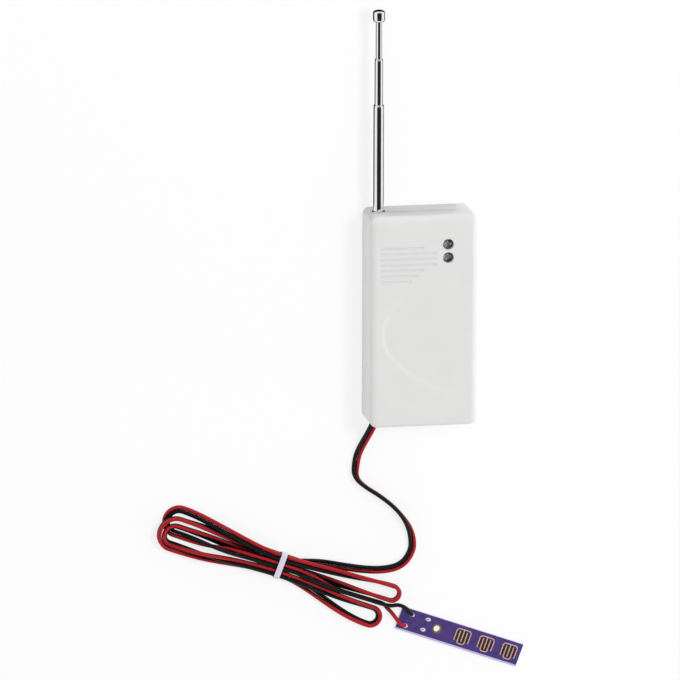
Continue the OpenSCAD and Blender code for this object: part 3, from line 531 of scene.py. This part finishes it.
def make_tie():
    """Band round the waist of the hank."""
    half = COLUMN + TWIN_PITCH / 2 + WIRE_D / 2 + TIE_GAP
    top = pair_z(HIGH, 0) + WIRE_D / 2 + TIE_GAP
    loop = []
    for corner, (x, z) in enumerate(((1, top), (-1, top), (-1, TIE_T), (1, TIE_T))):
        centre = Vector((x * (half - TIE_CORNER), z - TIE_CORNER if z > TIE_T else z + TIE_CORNER))
        for k in range(TIE_STEPS + 1):
            a = math.radians(90 * corner + 90 * k / TIE_STEPS)
            loop.append((centre, Vector((math.cos(a), math.sin(a)))))
    hw = TIE_W / 2
    right = [(RIB_TOP, RIB_T), (RIB_FOOT, BAND_T), (hw - BAND_EDGE, BAND_T), (hw, BAND_SIDE), (hw, BAND_FOOT),
             (hw - BAND_CHAMFER, 0)]
    section = right + [(-s, height) for s, height in reversed(right)]
    points = []
    for centre, out in loop:
        for s, height in section:
            t, z = centre + out * (TIE_CORNER + height)
            points.append((LEAD_ORIGIN + from_hank(s, t, z, 0).xyz) * MM)
    faces = band_faces(len(loop), len(section), closed=True)
    tie = add_object("hank_tie_band", mesh_from("hank_tie_band", points, faces, smooth_angle=35))
    tie.data.materials.append(tie_plastic.material)
    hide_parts("hank_tie")


make_tie()


# Front shell: rolled edges, grille grooves and the curved recess, all in one skin

CORNER_R = 3.5
FRONT_R = 3
END_ROLL = 5
WALL = 2
GROOVE_R = 0.9
GROOVE_DEPTH = 0.45
GROOVE_LEFT = -HOUSING_W / 2 + 4
GROOVE_TOP = HOUSING_L / 2 - 15.8
GROOVE_PITCH = 2.72
GROOVE_LENGTHS = [21.8, 28.1, 28.1, 28.1, 21.8, 19.1, 15.9]
RECESS_APEX = Vector((-HOUSING_W / 2 + 5, -5.6))
RECESS_DEPTH = 0.5
RECESS_EDGE = 2
UPPER_REACH = 22
UPPER_FOCUS = 31
LOWER_REACH = 38
LOWER_AXIS = 77
LOWER_HALF = 36.5
LOWER_LIMIT = 0.985
LED_X = HOUSING_W / 2 - 14.4
LED_Y = [HOUSING_L / 2 - 14.4, HOUSING_L / 2 - 20.9]
LED_R = 2.4
LAMP_HOLE_R = LED_R + 0.1
LAMP_BEVEL_R = LED_R + 0.5
LAMP_HOLE_FROM = 21
LAMP_BEVEL_FROM = 24.55
LAMP_HOLE_TO = 25.2
ANTENNA_X = -HOUSING_W / 2 + WALL + 3.8
ANTENNA_BORE_R = 3.05
BORE_FROM = HOUSING_L / 2 - 6
BORE_TO = HOUSING_L / 2 + 2
HOLE_STEPS = 48
SEAM_BEVEL = 0.06
LAP_INSET = 0.9
LAP_DEPTH = 1.4
WALL_HEIGHTS = (19, 16)
ROLL_STEPS = 12
CORNER_STEPS = 8
GRID_X = 0.5
GRID_Y = 0.8
GRID_FINE = 0.17
GROOVE_MARGIN = 1.2
FRONT_SMOOTH = 50


def at_lamp(x, y):
    """Placing for forms that are turned about an upright axis."""
    def place(a, b, h):
        return Vector((x + a, y + b, h)) * MM
    return place


def on_antenna(a, b, h):
    """Placing for forms that are turned about the antenna's axis."""
    return Vector((ANTENNA_X + a, h, REAR_H - b)) * MM


def groove_depth(x, y):
    """Depth of the grille grooves, each a round channel with rounded ends."""
    index = round((GROOVE_TOP - y) / GROOVE_PITCH)
    if not 0 <= index < len(GROOVE_LENGTHS):
        return 0
    half = math.sqrt(GROOVE_R ** 2 - (GROOVE_R - GROOVE_DEPTH) ** 2)
    left, right = GROOVE_LEFT + half, GROOVE_LEFT + GROOVE_LENGTHS[index] - half
    away = math.hypot(x - min(max(x, left), right), y - (GROOVE_TOP - index * GROOVE_PITCH))
    if away >= half:
        return 0
    return math.sqrt(GROOVE_R ** 2 - away ** 2) - (GROOVE_R - GROOVE_DEPTH)


def recess_curve(rise):
    """How far the recess's edge lies right of its apex at a height above it, and the edge's slope there."""
    if rise >= 0:
        return rise ** 2 / UPPER_FOCUS, 2 * rise / UPPER_FOCUS
    share = min(LOWER_LIMIT, -rise / LOWER_HALF)
    lean = math.sqrt(1 - share ** 2)
    return LOWER_AXIS * (1 - lean), -LOWER_AXIS / LOWER_HALF * share / lean


def recess_depth(x, y):
    """Depth of the recess: soft at its curved edge and fading out toward its chord."""
    reach, slope = recess_curve(y - RECESS_APEX.y)
    inside = (x - RECESS_APEX.x - reach) / math.hypot(1, slope)
    upper = RECESS_APEX + Vector((UPPER_REACH, math.sqrt(UPPER_FOCUS * UPPER_REACH)))
    lower_drop = LOWER_HALF * math.sqrt(1 - (1 - LOWER_REACH / LOWER_AXIS) ** 2)
    lower = RECESS_APEX + Vector((LOWER_REACH, -lower_drop))
    run = lower - upper
    across = Vector((-run.y, run.x)).normalized()
    fade = (upper - Vector((x, y))).dot(across) / (upper - RECESS_APEX).dot(across)
    return RECESS_DEPTH * max(0, min(1, fade)) * ease(inside / RECESS_EDGE)


def spread_lines(low, high, step, dense=()):
    """Grid lines from low to high, closer together where a (from, to, step) range asks for it."""
    lines = [low]
    while lines[-1] < high - NEARLY:
        here = lines[-1]
        size = step
        for start, end, fine in dense:
            if start - NEARLY <= here < end - NEARLY:
                size = fine
            elif here < start < here + size:
                size = start - here
        lines.append(min(high, here + size))
    return lines


def ring_levels():
    """Inset at the sides and the ends, corner radius and height of each ring, from the front inward."""
    levels = []
    for k in range(1, ROLL_STEPS + 1):
        a = math.radians(90 - 90 * k / ROLL_STEPS)
        f = 1 - math.cos(a)
        z = HOUSING_D - FRONT_R + FRONT_R * math.sin(a)
        levels.append((FRONT_R * f, END_ROLL * f, CORNER_R * (1 - f), z))
    for z in (*WALL_HEIGHTS, REAR_H + SEAM_BEVEL):
        levels.append((0, 0, CORNER_R, z))
    lap_top = REAR_H + LAP_DEPTH
    for inset, z in ((SEAM_BEVEL, REAR_H), (LAP_INSET, REAR_H), (LAP_INSET, lap_top), (WALL, lap_top),
                     (WALL, HOUSING_D - WALL)):
        levels.append((inset, inset, CORNER_R - inset, z))
    return levels


def front_rings(grid_edge, flat_x, flat_y):
    """Rings that carry the flat front down over the rolled edges, the walls and the inside."""
    rings = []
    for inset_x, inset_y, r, z in ring_levels():
        sx = HOUSING_W / 2 - inset_x - r
        sy = HOUSING_L / 2 - inset_y - r
        ring = []
        for x, y, corner in grid_edge:
            base = Vector((x / flat_x * sx, y / flat_y * sy))
            if corner is not None:
                turns = [math.radians(corner + 90 * k / CORNER_STEPS) for k in range(CORNER_STEPS + 1)]
                ring += [(*(base + r * Vector((math.cos(a), math.sin(a)))), z) for a in turns]
            elif abs(y) >= flat_y:
                ring.append((*(base + Vector((0, math.copysign(r, y)))), z))
            else:
                ring.append((*(base + Vector((math.copysign(r, x), 0))), z))
        rings.append(ring)
    return rings


def cut_with(piece, points, faces):
    """Cuts a closed form out of a piece and keeps the result in its mesh."""
    mesh = bpy.data.meshes.new("cutter")
    mesh.from_pydata([tuple(p) for p in points], [], faces)
    finish_mesh(mesh)
    cutter = bpy.data.objects.new("cutter", mesh)
    scene.collection.objects.link(cutter)
    change = piece.modifiers.new("cut", "BOOLEAN")
    change.object = cutter
    change.solver = "EXACT"
    bpy.context.view_layer.update()
    result = bpy.data.meshes.new_from_object(piece.evaluated_get(bpy.context.evaluated_depsgraph_get()))
    piece.modifiers.clear()
    old = piece.data
    piece.data = result
    bpy.data.meshes.remove(old)
    bpy.data.objects.remove(cutter)
    bpy.data.meshes.remove(mesh)


def make_front():
    """Front shell as one skin, with the holes for the lamps and the antenna."""
    flat_x = HOUSING_W / 2 - FRONT_R
    flat_y = HOUSING_L / 2 - END_ROLL
    groove_low = GROOVE_TOP - (len(GROOVE_LENGTHS) - 1) * GROOVE_PITCH - GROOVE_MARGIN
    xs = spread_lines(-flat_x, flat_x, GRID_X)
    ys = spread_lines(-flat_y, flat_y, GRID_Y, [(groove_low, GROOVE_TOP + GROOVE_MARGIN, GRID_FINE)])
    nx, ny = len(xs), len(ys)
    points = [(x, y, HOUSING_D - groove_depth(x, y) - recess_depth(x, y)) for y in ys for x in xs]
    faces = [(j * nx + i, j * nx + i + 1, (j + 1) * nx + i + 1, (j + 1) * nx + i)
             for j in range(ny - 1) for i in range(nx - 1)]
    edge = [(i, 0) for i in range(nx)] + [(nx - 1, j) for j in range(1, ny)]
    edge += [(i, ny - 1) for i in range(nx - 2, -1, -1)] + [(0, j) for j in range(ny - 2, 0, -1)]
    corners = {(0, 0): 180, (nx - 1, 0): 270, (nx - 1, ny - 1): 0, (0, ny - 1): 90}
    grid_edge = [(xs[i], ys[j], corners.get((i, j))) for i, j in edge]
    rings = front_rings(grid_edge, flat_x, flat_y)
    start = [i for i in range(len(edge)) for _ in range(CORNER_STEPS + 1 if edge[i] in corners else 1)]
    inner = [edge[i][1] * nx + edge[i][0] for i in start]
    for ring in rings:
        first = len(points)
        points += ring
        outer = list(range(first, first + len(ring)))
        for k in range(len(ring)):
            n = (k + 1) % len(ring)
            loop = [inner[k], inner[n], outer[n], outer[k]]
            faces.append(tuple(dict.fromkeys(loop)))
        inner = outer
    faces.append(tuple(inner))
    mesh = mesh_from("front_skin", [Vector(p) * MM for p in points], faces, FRONT_SMOOTH)
    front = add_object("front_skin", mesh)
    hole = [(0, LAMP_HOLE_FROM), (LAMP_HOLE_R, LAMP_HOLE_FROM), (LAMP_HOLE_R, LAMP_BEVEL_FROM),
            (LAMP_BEVEL_R, LAMP_HOLE_TO), (0, LAMP_HOLE_TO)]
    for y in LED_Y:
        cut_with(front, *revolve(hole, at_lamp(LED_X, y), HOLE_STEPS))
    bore = [(0, BORE_FROM), (ANTENNA_BORE_R, BORE_FROM), (ANTENNA_BORE_R, BORE_TO), (0, BORE_TO)]
    cut_with(front, *revolve(bore, on_antenna, HOLE_STEPS))
    finish_mesh(front.data, FRONT_SMOOTH)
    front.data.materials.clear()
    front.data.materials.append(white.material)
    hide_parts("front_shell")


make_front()


# Antenna: smooth tubes with rolled mouths, and the knob

RIM_Y = HOUSING_L / 2 + 1
LOWER_TOP = RIM_Y + 51.7
MIDDLE_TOP = LOWER_TOP + 22.5
TIP_TOP = MIDDLE_TOP + 18
BASE_R = 3
BASE_BORE = 2.75
BASE_MOUTH = 2.55
BASE_L = 61
BASE_FLOOR = 1
RIM_H = 1
RIM_R = 2.95
RIM_EDGE = 0.25
LOWER_R = 2.5
LOWER_L = 58.5
MIDDLE_R = 2.0
MIDDLE_L = 54
TIP_R = 1.5
TIP_L = 50
SLIDE_GAP = 0.05
TUBE_WALL = 0.25
LIP_R = 0.35
LIP_SWELL = 0.04
LIP_BELOW_END = 0.3
LIP_FROM = 1.3
MOUTH_L = 0.8
ANTENNA_STEPS = 72
KNOB_R = 2.9
KNOB_L = 5.9
KNOB_FLARE = 1.1
KNOB_EDGE = 1.3
KNOB_CROWN = 0.4
KNOB_SMOOTH = 50


def tube_profile(r, length, end, mouth):
    """Tube with a rounded mouth that closes in on the next section."""
    start = end - length
    bore = r - TUBE_WALL
    lip = arc(r + LIP_SWELL - LIP_R, end - LIP_R - LIP_BELOW_END, LIP_R, -60, 90, 10)
    return [(bore, start), (r, start), (r, end - LIP_FROM), *lip, (mouth, end), (mouth, end - MOUTH_L),
            (bore, end - 2 * MOUTH_L), (bore, start)]


def antenna_piece(name, node, body, profile, smooth_angle=35):
    """Chrome piece that is turned about the antenna's axis."""
    shape = revolve(profile, on_antenna, ANTENNA_STEPS)
    piece = add_object(name, mesh_from(name, *shape, smooth_angle), body)
    piece.data.materials.append(chrome.material)
    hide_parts(node)


def make_antenna():
    """Outer tube, the three sections that slide, and the knob."""
    foot = RIM_Y - BASE_L
    rim_foot = RIM_Y - RIM_H
    base = [(0, foot), (BASE_R, foot), (BASE_R, rim_foot),
            *arc(RIM_R, rim_foot + RIM_EDGE, RIM_EDGE, -90, 90, 8),
            (BASE_BORE, RIM_Y - 0.35), (BASE_MOUTH, RIM_Y - 0.45), (BASE_MOUTH, RIM_Y - 1.2),
            (BASE_BORE, RIM_Y - 1.7), (BASE_BORE, foot + BASE_FLOOR), (0, foot + BASE_FLOOR)]
    antenna_piece("antenna_base", "antenna_outer_tube", "housing", base)
    antenna_piece("antenna_lower", "antenna_lower_tube", "antenna_lower",
                  tube_profile(LOWER_R, LOWER_L, LOWER_TOP, MIDDLE_R + SLIDE_GAP))
    antenna_piece("antenna_middle", "antenna_middle_tube", "antenna_middle",
                  tube_profile(MIDDLE_R, MIDDLE_L, MIDDLE_TOP, TIP_R + SLIDE_GAP))
    tip_foot = TIP_TOP - TIP_L
    antenna_piece("antenna_tip", "antenna_tip_rod", "antenna_tip",
                  [(0, tip_foot), (TIP_R, tip_foot), (TIP_R, TIP_TOP), (0, TIP_TOP)])
    end = TIP_TOP + KNOB_L
    knob = [(0, TIP_TOP), *arc(KNOB_R - KNOB_FLARE, TIP_TOP + KNOB_FLARE, KNOB_FLARE, -90, 0, 8),
            *arc(KNOB_R - KNOB_EDGE, end - KNOB_CROWN - KNOB_EDGE, KNOB_EDGE, 0, 72, 8),
            (1.3, end - 0.24), (0.6, end - 0.06), (0, end)]
    antenna_piece("antenna_button", "antenna_knob", "antenna_tip", knob, KNOB_SMOOTH)


make_antenna()


# Lamps: clear lens, reflector cup and post over a dark cavity, whose darkness is painted shade

LAMP_H = 8.6
LAMP_BELOW_FRONT = 0.2
FLANGE_W = 0.5
FLANGE_T = 1
CAVITY_GAP = 0.25
CAVITY_FROM = 1.2
CAVITY_BELOW_TOP = 4
STEM_BELOW_TOP = 4.6
DISH_RIM = 0.3
DISH_DEPTH = 0.5
LENS_STEPS = 48
CAVITY_STEPS = 32
STEM_STEPS = 24
LAMP_SMOOTH = 30

lens = Shader("lamp_lens", grey(0.8), 0.05, Transmission_Weight=1.0, IOR=1.45)
lens.tone(3, grey(0.68), grey(0.78))
lens.gloss(2, low=0.03, high=0.08)
cup = metal("lamp_cup", grey(0.72), grey(0.84), 0.4, metallic=0.3)
post = metal("lamp_post", grey(0.8), grey(0.92), 0.4, metallic=0.3)
# Painted shade: grey for the dim inside of the lamp
cavity_shade = plastic("lamp_cavity_shade", grey(0.3), grey(0.38), 0.6)


def make_lamp(name, node, y):
    """Clear lens over a cavity of painted shade, with its cup and post."""
    base = HOUSING_D - LAMP_BELOW_FRONT - LAMP_H
    top = base + LAMP_H
    flange_r = LED_R + FLANGE_W
    place = at_lamp(LED_X, y)
    profile = [(0, base), (flange_r, base), (flange_r, base + FLANGE_T), (LED_R, base + FLANGE_T),
               *arc(0, top - LED_R, LED_R, 0, 90, 12)]
    shape = revolve(profile, place, LENS_STEPS)
    dome = add_object(f"{name}_lens", mesh_from(f"{name}_lens", *shape, LAMP_SMOOTH))
    dome.data.materials.append(lens.material)
    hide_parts(node)
    # Dark cylinder under the cup and post, a painted shade inside the lamp
    cavity_r = LED_R - CAVITY_GAP
    low, high = base + CAVITY_FROM, top - CAVITY_BELOW_TOP
    inner = [(0, low), (cavity_r, low), (cavity_r, high), (0, high)]
    shape = revolve(inner, place, CAVITY_STEPS)
    floor = add_object(f"{name}_cavity", mesh_from(f"{name}_cavity", *shape, LAMP_SMOOTH))
    floor.data.materials.append(cavity_shade.material)
    foot = top - STEM_BELOW_TOP
    for part, x, r, height, look in (("anvil", -0.5, 1.0, 2.0, cup), ("post", 0.95, 0.5, 2.2, post)):
        end = foot + height
        dish = [(0, foot), (r * 0.6, foot), (r, end - DISH_RIM), (r, end), (r * 0.8, end),
                (r * 0.35, end - DISH_DEPTH), (0, end - DISH_DEPTH)]
        shape = revolve(dish, at_lamp(LED_X + x, y), STEM_STEPS)
        metal_part = add_object(f"{name}_{part}", mesh_from(f"{name}_{part}", *shape, LAMP_SMOOTH))
        metal_part.data.materials.append(look.material)


make_lamp("upper_lamp", "upper_led", LED_Y[0])
make_lamp("lower_lamp", "lower_led", LED_Y[1])


# Probe: purple mask, pale laminate edges, gold combs, small chips and solder

COMB_FIRST = (-PROBE_L / 2 + 33, 0.3)
COMB_PITCH = 12.1
COMB_COUNT = 3
COMB_STEPS = 6
STRIP_W = 0.55
STRIP_T = 0.1
STRIP_STEP = 1.8
COMB_L = PROBE_W - 3.7
LEG_GAP = 1.3
OUTER_BEND = 1.2
INNER_BEND = 1.0
PALE_STRIP = 0.9
WINDOW_SHIFT = 0.25
# Half sizes of the two dark windows round each comb
WIDE_WINDOW = (2 * STRIP_STEP, 2.3)
TALL_WINDOW = (1.3, COMB_L / 2 - 0.4)
RED_LUMP = (1.4, 1.25, 1.1)
BLACK_LUMP = (1.4, 1.2, 1.1)
CHIP_SIZE = (1.4, 0.95, 0.6)
CHIPS = [(-PROBE_L / 2 + 14, 3.4), (-PROBE_L / 2 + 13.2, -2.1)]


def probe_place(along, across, z):
    """A place on the probe board, in metres."""
    return (LEAD_ORIGIN + on_board((along, across), z)) * MM


def make_probe_mask():
    """Purple mask with dark windows round the combs, and pale laminate at the edges."""
    shader = Shader("probe_mask", (0.07, 0.04, 0.2), 0.35)
    turn = shader.nodes.new("ShaderNodeMapping")
    turn.vector_type = "TEXTURE"
    turn.inputs["Location"].default_value = probe_place(0, 0, 0)
    turn.inputs["Rotation"].default_value = (0, 0, PROBE_TURN)
    shader.link(shader.place, turn, "Vector")
    parts = shader.nodes.new("ShaderNodeSeparateXYZ")
    shader.link(turn.outputs[0], parts, 0)
    along, across = parts.outputs[0], parts.outputs[1]

    def near(value, middle, half):
        """1 within half a width of a middle, both in millimetres."""
        away = shader.math("ABSOLUTE", shader.math("SUBTRACT", value, middle * MM))
        return shader.math("LESS_THAN", away, half * MM)

    normal = shader.nodes.new("ShaderNodeSeparateXYZ")
    shader.link(shader.nodes.new("ShaderNodeNewGeometry").outputs["True Normal"], normal, 0)
    side = shader.math("LESS_THAN", shader.math("ABSOLUTE", normal.outputs[2]), 0.5)
    strip = shader.math("LESS_THAN", across, (-PROBE_W / 2 + PALE_STRIP) * MM)
    pale = shader.math("MAXIMUM", side, strip)
    from_first = shader.math("SUBTRACT", along, (COMB_FIRST[0] - COMB_PITCH / 2) * MM)
    in_cell = shader.math("FLOORED_MODULO", from_first, COMB_PITCH * MM)
    in_cell = shader.math("SUBTRACT", in_cell, COMB_PITCH / 2 * MM)
    wide = shader.math("MULTIPLY", near(in_cell, 0, WIDE_WINDOW[0]),
                       near(across, COMB_FIRST[1] + WINDOW_SHIFT, WIDE_WINDOW[1]))
    tall = shader.math("MULTIPLY", near(in_cell, 0, TALL_WINDOW[0]),
                       near(across, COMB_FIRST[1], TALL_WINDOW[1]))
    window = shader.math("MAXIMUM", wide, tall)
    window = shader.math("MULTIPLY", window, shader.math("GREATER_THAN", from_first, 0))
    purple = shader.spots(2.5, (0.062, 0.036, 0.19), (0.085, 0.05, 0.235), detail=4.0)
    brown = shader.spots(0.5, (0.035, 0.012, 0.016), (0.07, 0.026, 0.03))
    laminate = shader.spots(0.4, (0.5, 0.44, 0.74), (0.62, 0.56, 0.82))
    colour = shader.mix(pale, shader.mix(window, purple, brown), laminate)
    shader.link(colour, shader.surface, "Base Color")
    shader.gloss(1.5, low=0.28, high=0.4)
    shader.bump(shader.noise(0.7), strength=0.1, depth_mm=0.03)
    return shader


def ribbon(line, width, low, high):
    """Flat strip along a line on the board, between two heights."""
    points = []
    for i, p in enumerate(line):
        ahead = line[min(i + 1, len(line) - 1)] - line[max(i - 1, 0)]
        out = Vector((-ahead.y, ahead.x)).normalized() * width / 2
        for side, z in ((out, low), (out, high), (-out, high), (-out, low)):
            points.append(probe_place(p.x + side.x, p.y + side.y, z))
    faces = band_faces(len(line), 4)
    last = 4 * len(line) - 4
    faces += [(3, 2, 1, 0), (last, last + 1, last + 2, last + 3)]
    return points, faces


def bridge_line(half, foot, bar, r):
    """Line from a leg's foot up, over a bar with rounded corners and down to the other foot."""
    rise = math.copysign(1, bar - foot)
    turns = [math.radians(90 * k / COMB_STEPS) for k in range(COMB_STEPS + 1)]

    def corner(side, a):
        return Vector((side * (half - r + r * math.cos(a)), bar - rise * (r - r * math.sin(a))))

    left = [corner(-1, a) for a in turns]
    right = [corner(1, a) for a in reversed(turns)]
    return [Vector((-half, foot)), *left, *right, Vector((half, foot))]


def make_combs():
    """Three combs of gold strips, in one mesh."""
    points, faces = [], []
    low, high = PROBE_T, PROBE_T + STRIP_T
    leg_end = COMB_L / 2 - LEG_GAP
    bar = COMB_L / 2 - STRIP_W / 2
    for i in range(COMB_COUNT):
        middle = Vector((COMB_FIRST[0] + i * COMB_PITCH, COMB_FIRST[1]))
        lines = [bridge_line(2 * STRIP_STEP, -leg_end, bar, OUTER_BEND),
                 bridge_line(STRIP_STEP, leg_end, -bar, INNER_BEND),
                 [Vector((0, -leg_end)), Vector((0, bar - STRIP_W / 2))]]
        for line in lines:
            more, quads = ribbon([p + middle for p in line], STRIP_W, low, high)
            faces += [tuple(k + len(points) for k in quad) for quad in quads]
            points += more
    combs = add_object("probe_combs", mesh_from("probe_combs", points, faces, smooth_angle=30))
    combs.data.materials.append(gold.material)
    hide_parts("probe_electrodes")


def make_lump(name, centre, size, seed):
    """Low lump that is a little uneven, for the solder joints and the chips."""
    points = []
    steps, levels = 28, 8
    for i in range(levels + 1):
        a = math.radians(90 * i / levels)
        z = PROBE_T + size[2] * math.sin(a)
        for k in range(steps):
            b = 2 * math.pi * k / steps
            swell = 1 + 0.06 * math.sin(3 * b + seed) + 0.04 * math.sin(5 * b + 2 * seed)
            r = math.cos(a) * swell
            x = centre[0] + size[0] * r * math.cos(b)
            y = centre[1] + size[1] * r * math.sin(b)
            points.append(probe_place(x, y, z))
    faces = band_faces(levels + 1, steps)
    faces.append(tuple(range(steps)))
    lump = mesh_from(name, points, faces, smooth_angle=60)
    lump.materials.append(solder.material)
    return lump


def make_probe_details():
    """Board, combs, solder joints and chips."""
    dress("probe_board", make_probe_mask())
    make_combs()
    joints = add_object("probe_red_joint", make_lump("probe_red_joint", RED_JOINT, RED_LUMP, seed=1.0))
    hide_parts("probe_solder")
    add_object("probe_black_joint", make_lump("probe_black_joint", BLACK_JOINT, BLACK_LUMP, seed=2.6))
    for i, spot in enumerate(CHIPS):
        chip = add_object(f"probe_chip_{i}", make_lump(f"probe_chip_{i}", spot, CHIP_SIZE, seed=4.0 + i))
        if i == 0:
            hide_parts("probe_chips")


make_probe_details()


# Floor, light and background, with lengths in metres

FLOOR_REACH = 3
FLOOR_Z = -0.0003
CARD_HALF = 0.04
CARD_FROM = 0.05
CARD_TO = 0.2
CARD_Z = 0.0002
CARD_TONE = 0.02
FLOOR_TONE = 0.97
FLOOR_GLOW = 0.75
EVEN_LIGHT = 0.67
WALL_LIGHT = 0.95
CEILING_LIGHT = 0.02
CEILING_FROM = 0.66
CEILING_TO = 0.74
LIGHTS = [
    # name, direction from the part, distance and size in metres, power in watts
    ("key", (0.32, 0.26, 0.91), 2.2, (0.5, 0.5), 16.8),
    ("side", (1, -0.3, 0.06), 2, (0.8, 0.2), 10.5),
    ("end", (-0.2, 1, 0.08), 2, (0.8, 0.2), 3),
]


def flat_piece(name, low, high, z):
    """Flat rectangle for the stage, between two corners."""
    corners = [(*low, z), (high[0], low[1], z), (*high, z), (low[0], high[1], z)]
    mesh = mesh_from(name, corners, [(0, 1, 2, 3)])
    piece = bpy.data.objects.new(name, mesh)
    scene.collection.objects.link(piece)
    return piece


def mirrored_rays(nodes, links, path):
    """1 for rays that come by a mirror or through a lens."""
    either = nodes.new("ShaderNodeMath")
    either.operation = "MAXIMUM"
    links.new(path.outputs["Is Glossy Ray"], either.inputs[0])
    links.new(path.outputs["Is Transmission Ray"], either.inputs[1])
    return either.outputs[0]


def blend(nodes, links, share, first, second):
    """A share of two shaders."""
    node = nodes.new("ShaderNodeMixShader")
    for k, source in enumerate((share, first, second)):
        links.new(source, node.inputs[k])
    return node.outputs[0]


def make_floor():
    """White floor that shows the part's shadow faintly."""
    floor = flat_piece("floor", (-FLOOR_REACH, -FLOOR_REACH), (FLOOR_REACH, FLOOR_REACH), FLOOR_Z)
    material = bpy.data.materials.new("floor")
    material.use_nodes = True
    nodes, links = material.node_tree.nodes, material.node_tree.links
    nodes.clear()
    paint = nodes.new("ShaderNodeBsdfDiffuse")
    paint.inputs["Color"].default_value = (*grey(FLOOR_TONE), 1)
    glow = nodes.new("ShaderNodeEmission")
    glow.inputs["Color"].default_value = (1, 1, 1, 1)
    glow.inputs["Strength"].default_value = 1
    path = nodes.new("ShaderNodeLightPath")
    share = nodes.new("ShaderNodeMath")
    share.operation = "MULTIPLY_ADD"
    share.inputs[1].default_value = FLOOR_GLOW
    links.new(path.outputs["Is Camera Ray"], share.inputs[0])
    links.new(mirrored_rays(nodes, links, path), share.inputs[2])
    both = blend(nodes, links, share.outputs[0], paint.outputs[0], glow.outputs[0])
    links.new(both, nodes.new("ShaderNodeOutputMaterial").inputs[0])
    floor.data.materials.append(material)


def make_card():
    """Dark card under the antenna that only its chrome mirrors, for the dark lines along its edges."""
    middle = ANTENNA_X * MM
    card = flat_piece("dark_card", (middle - CARD_HALF, CARD_FROM), (middle + CARD_HALF, CARD_TO), CARD_Z)
    card.visible_camera = False
    card.visible_diffuse = False
    card.visible_transmission = False
    card.visible_shadow = False
    material = bpy.data.materials.new("dark_card")
    material.use_nodes = True
    surface = material.node_tree.nodes["Principled BSDF"]
    surface.inputs["Base Color"].default_value = (*grey(CARD_TONE), 1)
    surface.inputs["Specular IOR Level"].default_value = 0
    card.data.materials.append(material)


def make_light(name, toward, distance, size, power):
    """Soft lamp in a direction from the part, aimed at it."""
    data = bpy.data.lights.new(name, "AREA")
    data.shape = "RECTANGLE"
    data.size, data.size_y = size
    data.energy = power
    lamp = bpy.data.objects.new(name, data)
    away = Vector(toward).normalized()
    lamp.location = away * distance
    lamp.rotation_euler = away.to_track_quat("Z", "Y").to_euler()
    lamp.visible_glossy = False
    scene.collection.objects.link(lamp)


def make_world():
    """Even soft light, white walls and a dark ceiling in mirrors and lenses, plain white for the camera."""
    world = bpy.data.worlds.new("studio")
    scene.world = world
    world.use_nodes = True
    nodes, links = world.node_tree.nodes, world.node_tree.links
    nodes.clear()
    place = nodes.new("ShaderNodeTexCoord")
    parts = nodes.new("ShaderNodeSeparateXYZ")
    links.new(place.outputs["Generated"], parts.inputs[0])
    ramp = nodes.new("ShaderNodeValToRGB")
    ends = ramp.color_ramp.elements
    ends[0].position = CEILING_FROM
    ends[0].color = (*grey(WALL_LIGHT), 1)
    ends[1].position = CEILING_TO
    ends[1].color = (*grey(CEILING_LIGHT), 1)
    links.new(parts.outputs[2], ramp.inputs[0])
    walls = nodes.new("ShaderNodeBackground")
    links.new(ramp.outputs[0], walls.inputs["Color"])
    even = nodes.new("ShaderNodeBackground")
    even.inputs["Color"].default_value = (*grey(EVEN_LIGHT), 1)
    plain = nodes.new("ShaderNodeBackground")
    plain.inputs["Color"].default_value = (1, 1, 1, 1)
    path = nodes.new("ShaderNodeLightPath")
    mirrored = mirrored_rays(nodes, links, path)
    around = blend(nodes, links, mirrored, even.outputs[0], walls.outputs[0])
    both = blend(nodes, links, path.outputs["Is Camera Ray"], around, plain.outputs[0])
    links.new(both, nodes.new("ShaderNodeOutputWorld").inputs[0])


make_floor()
make_card()
make_world()
for light in LIGHTS:
    make_light(*light)

scene.view_settings.view_transform = "Standard"
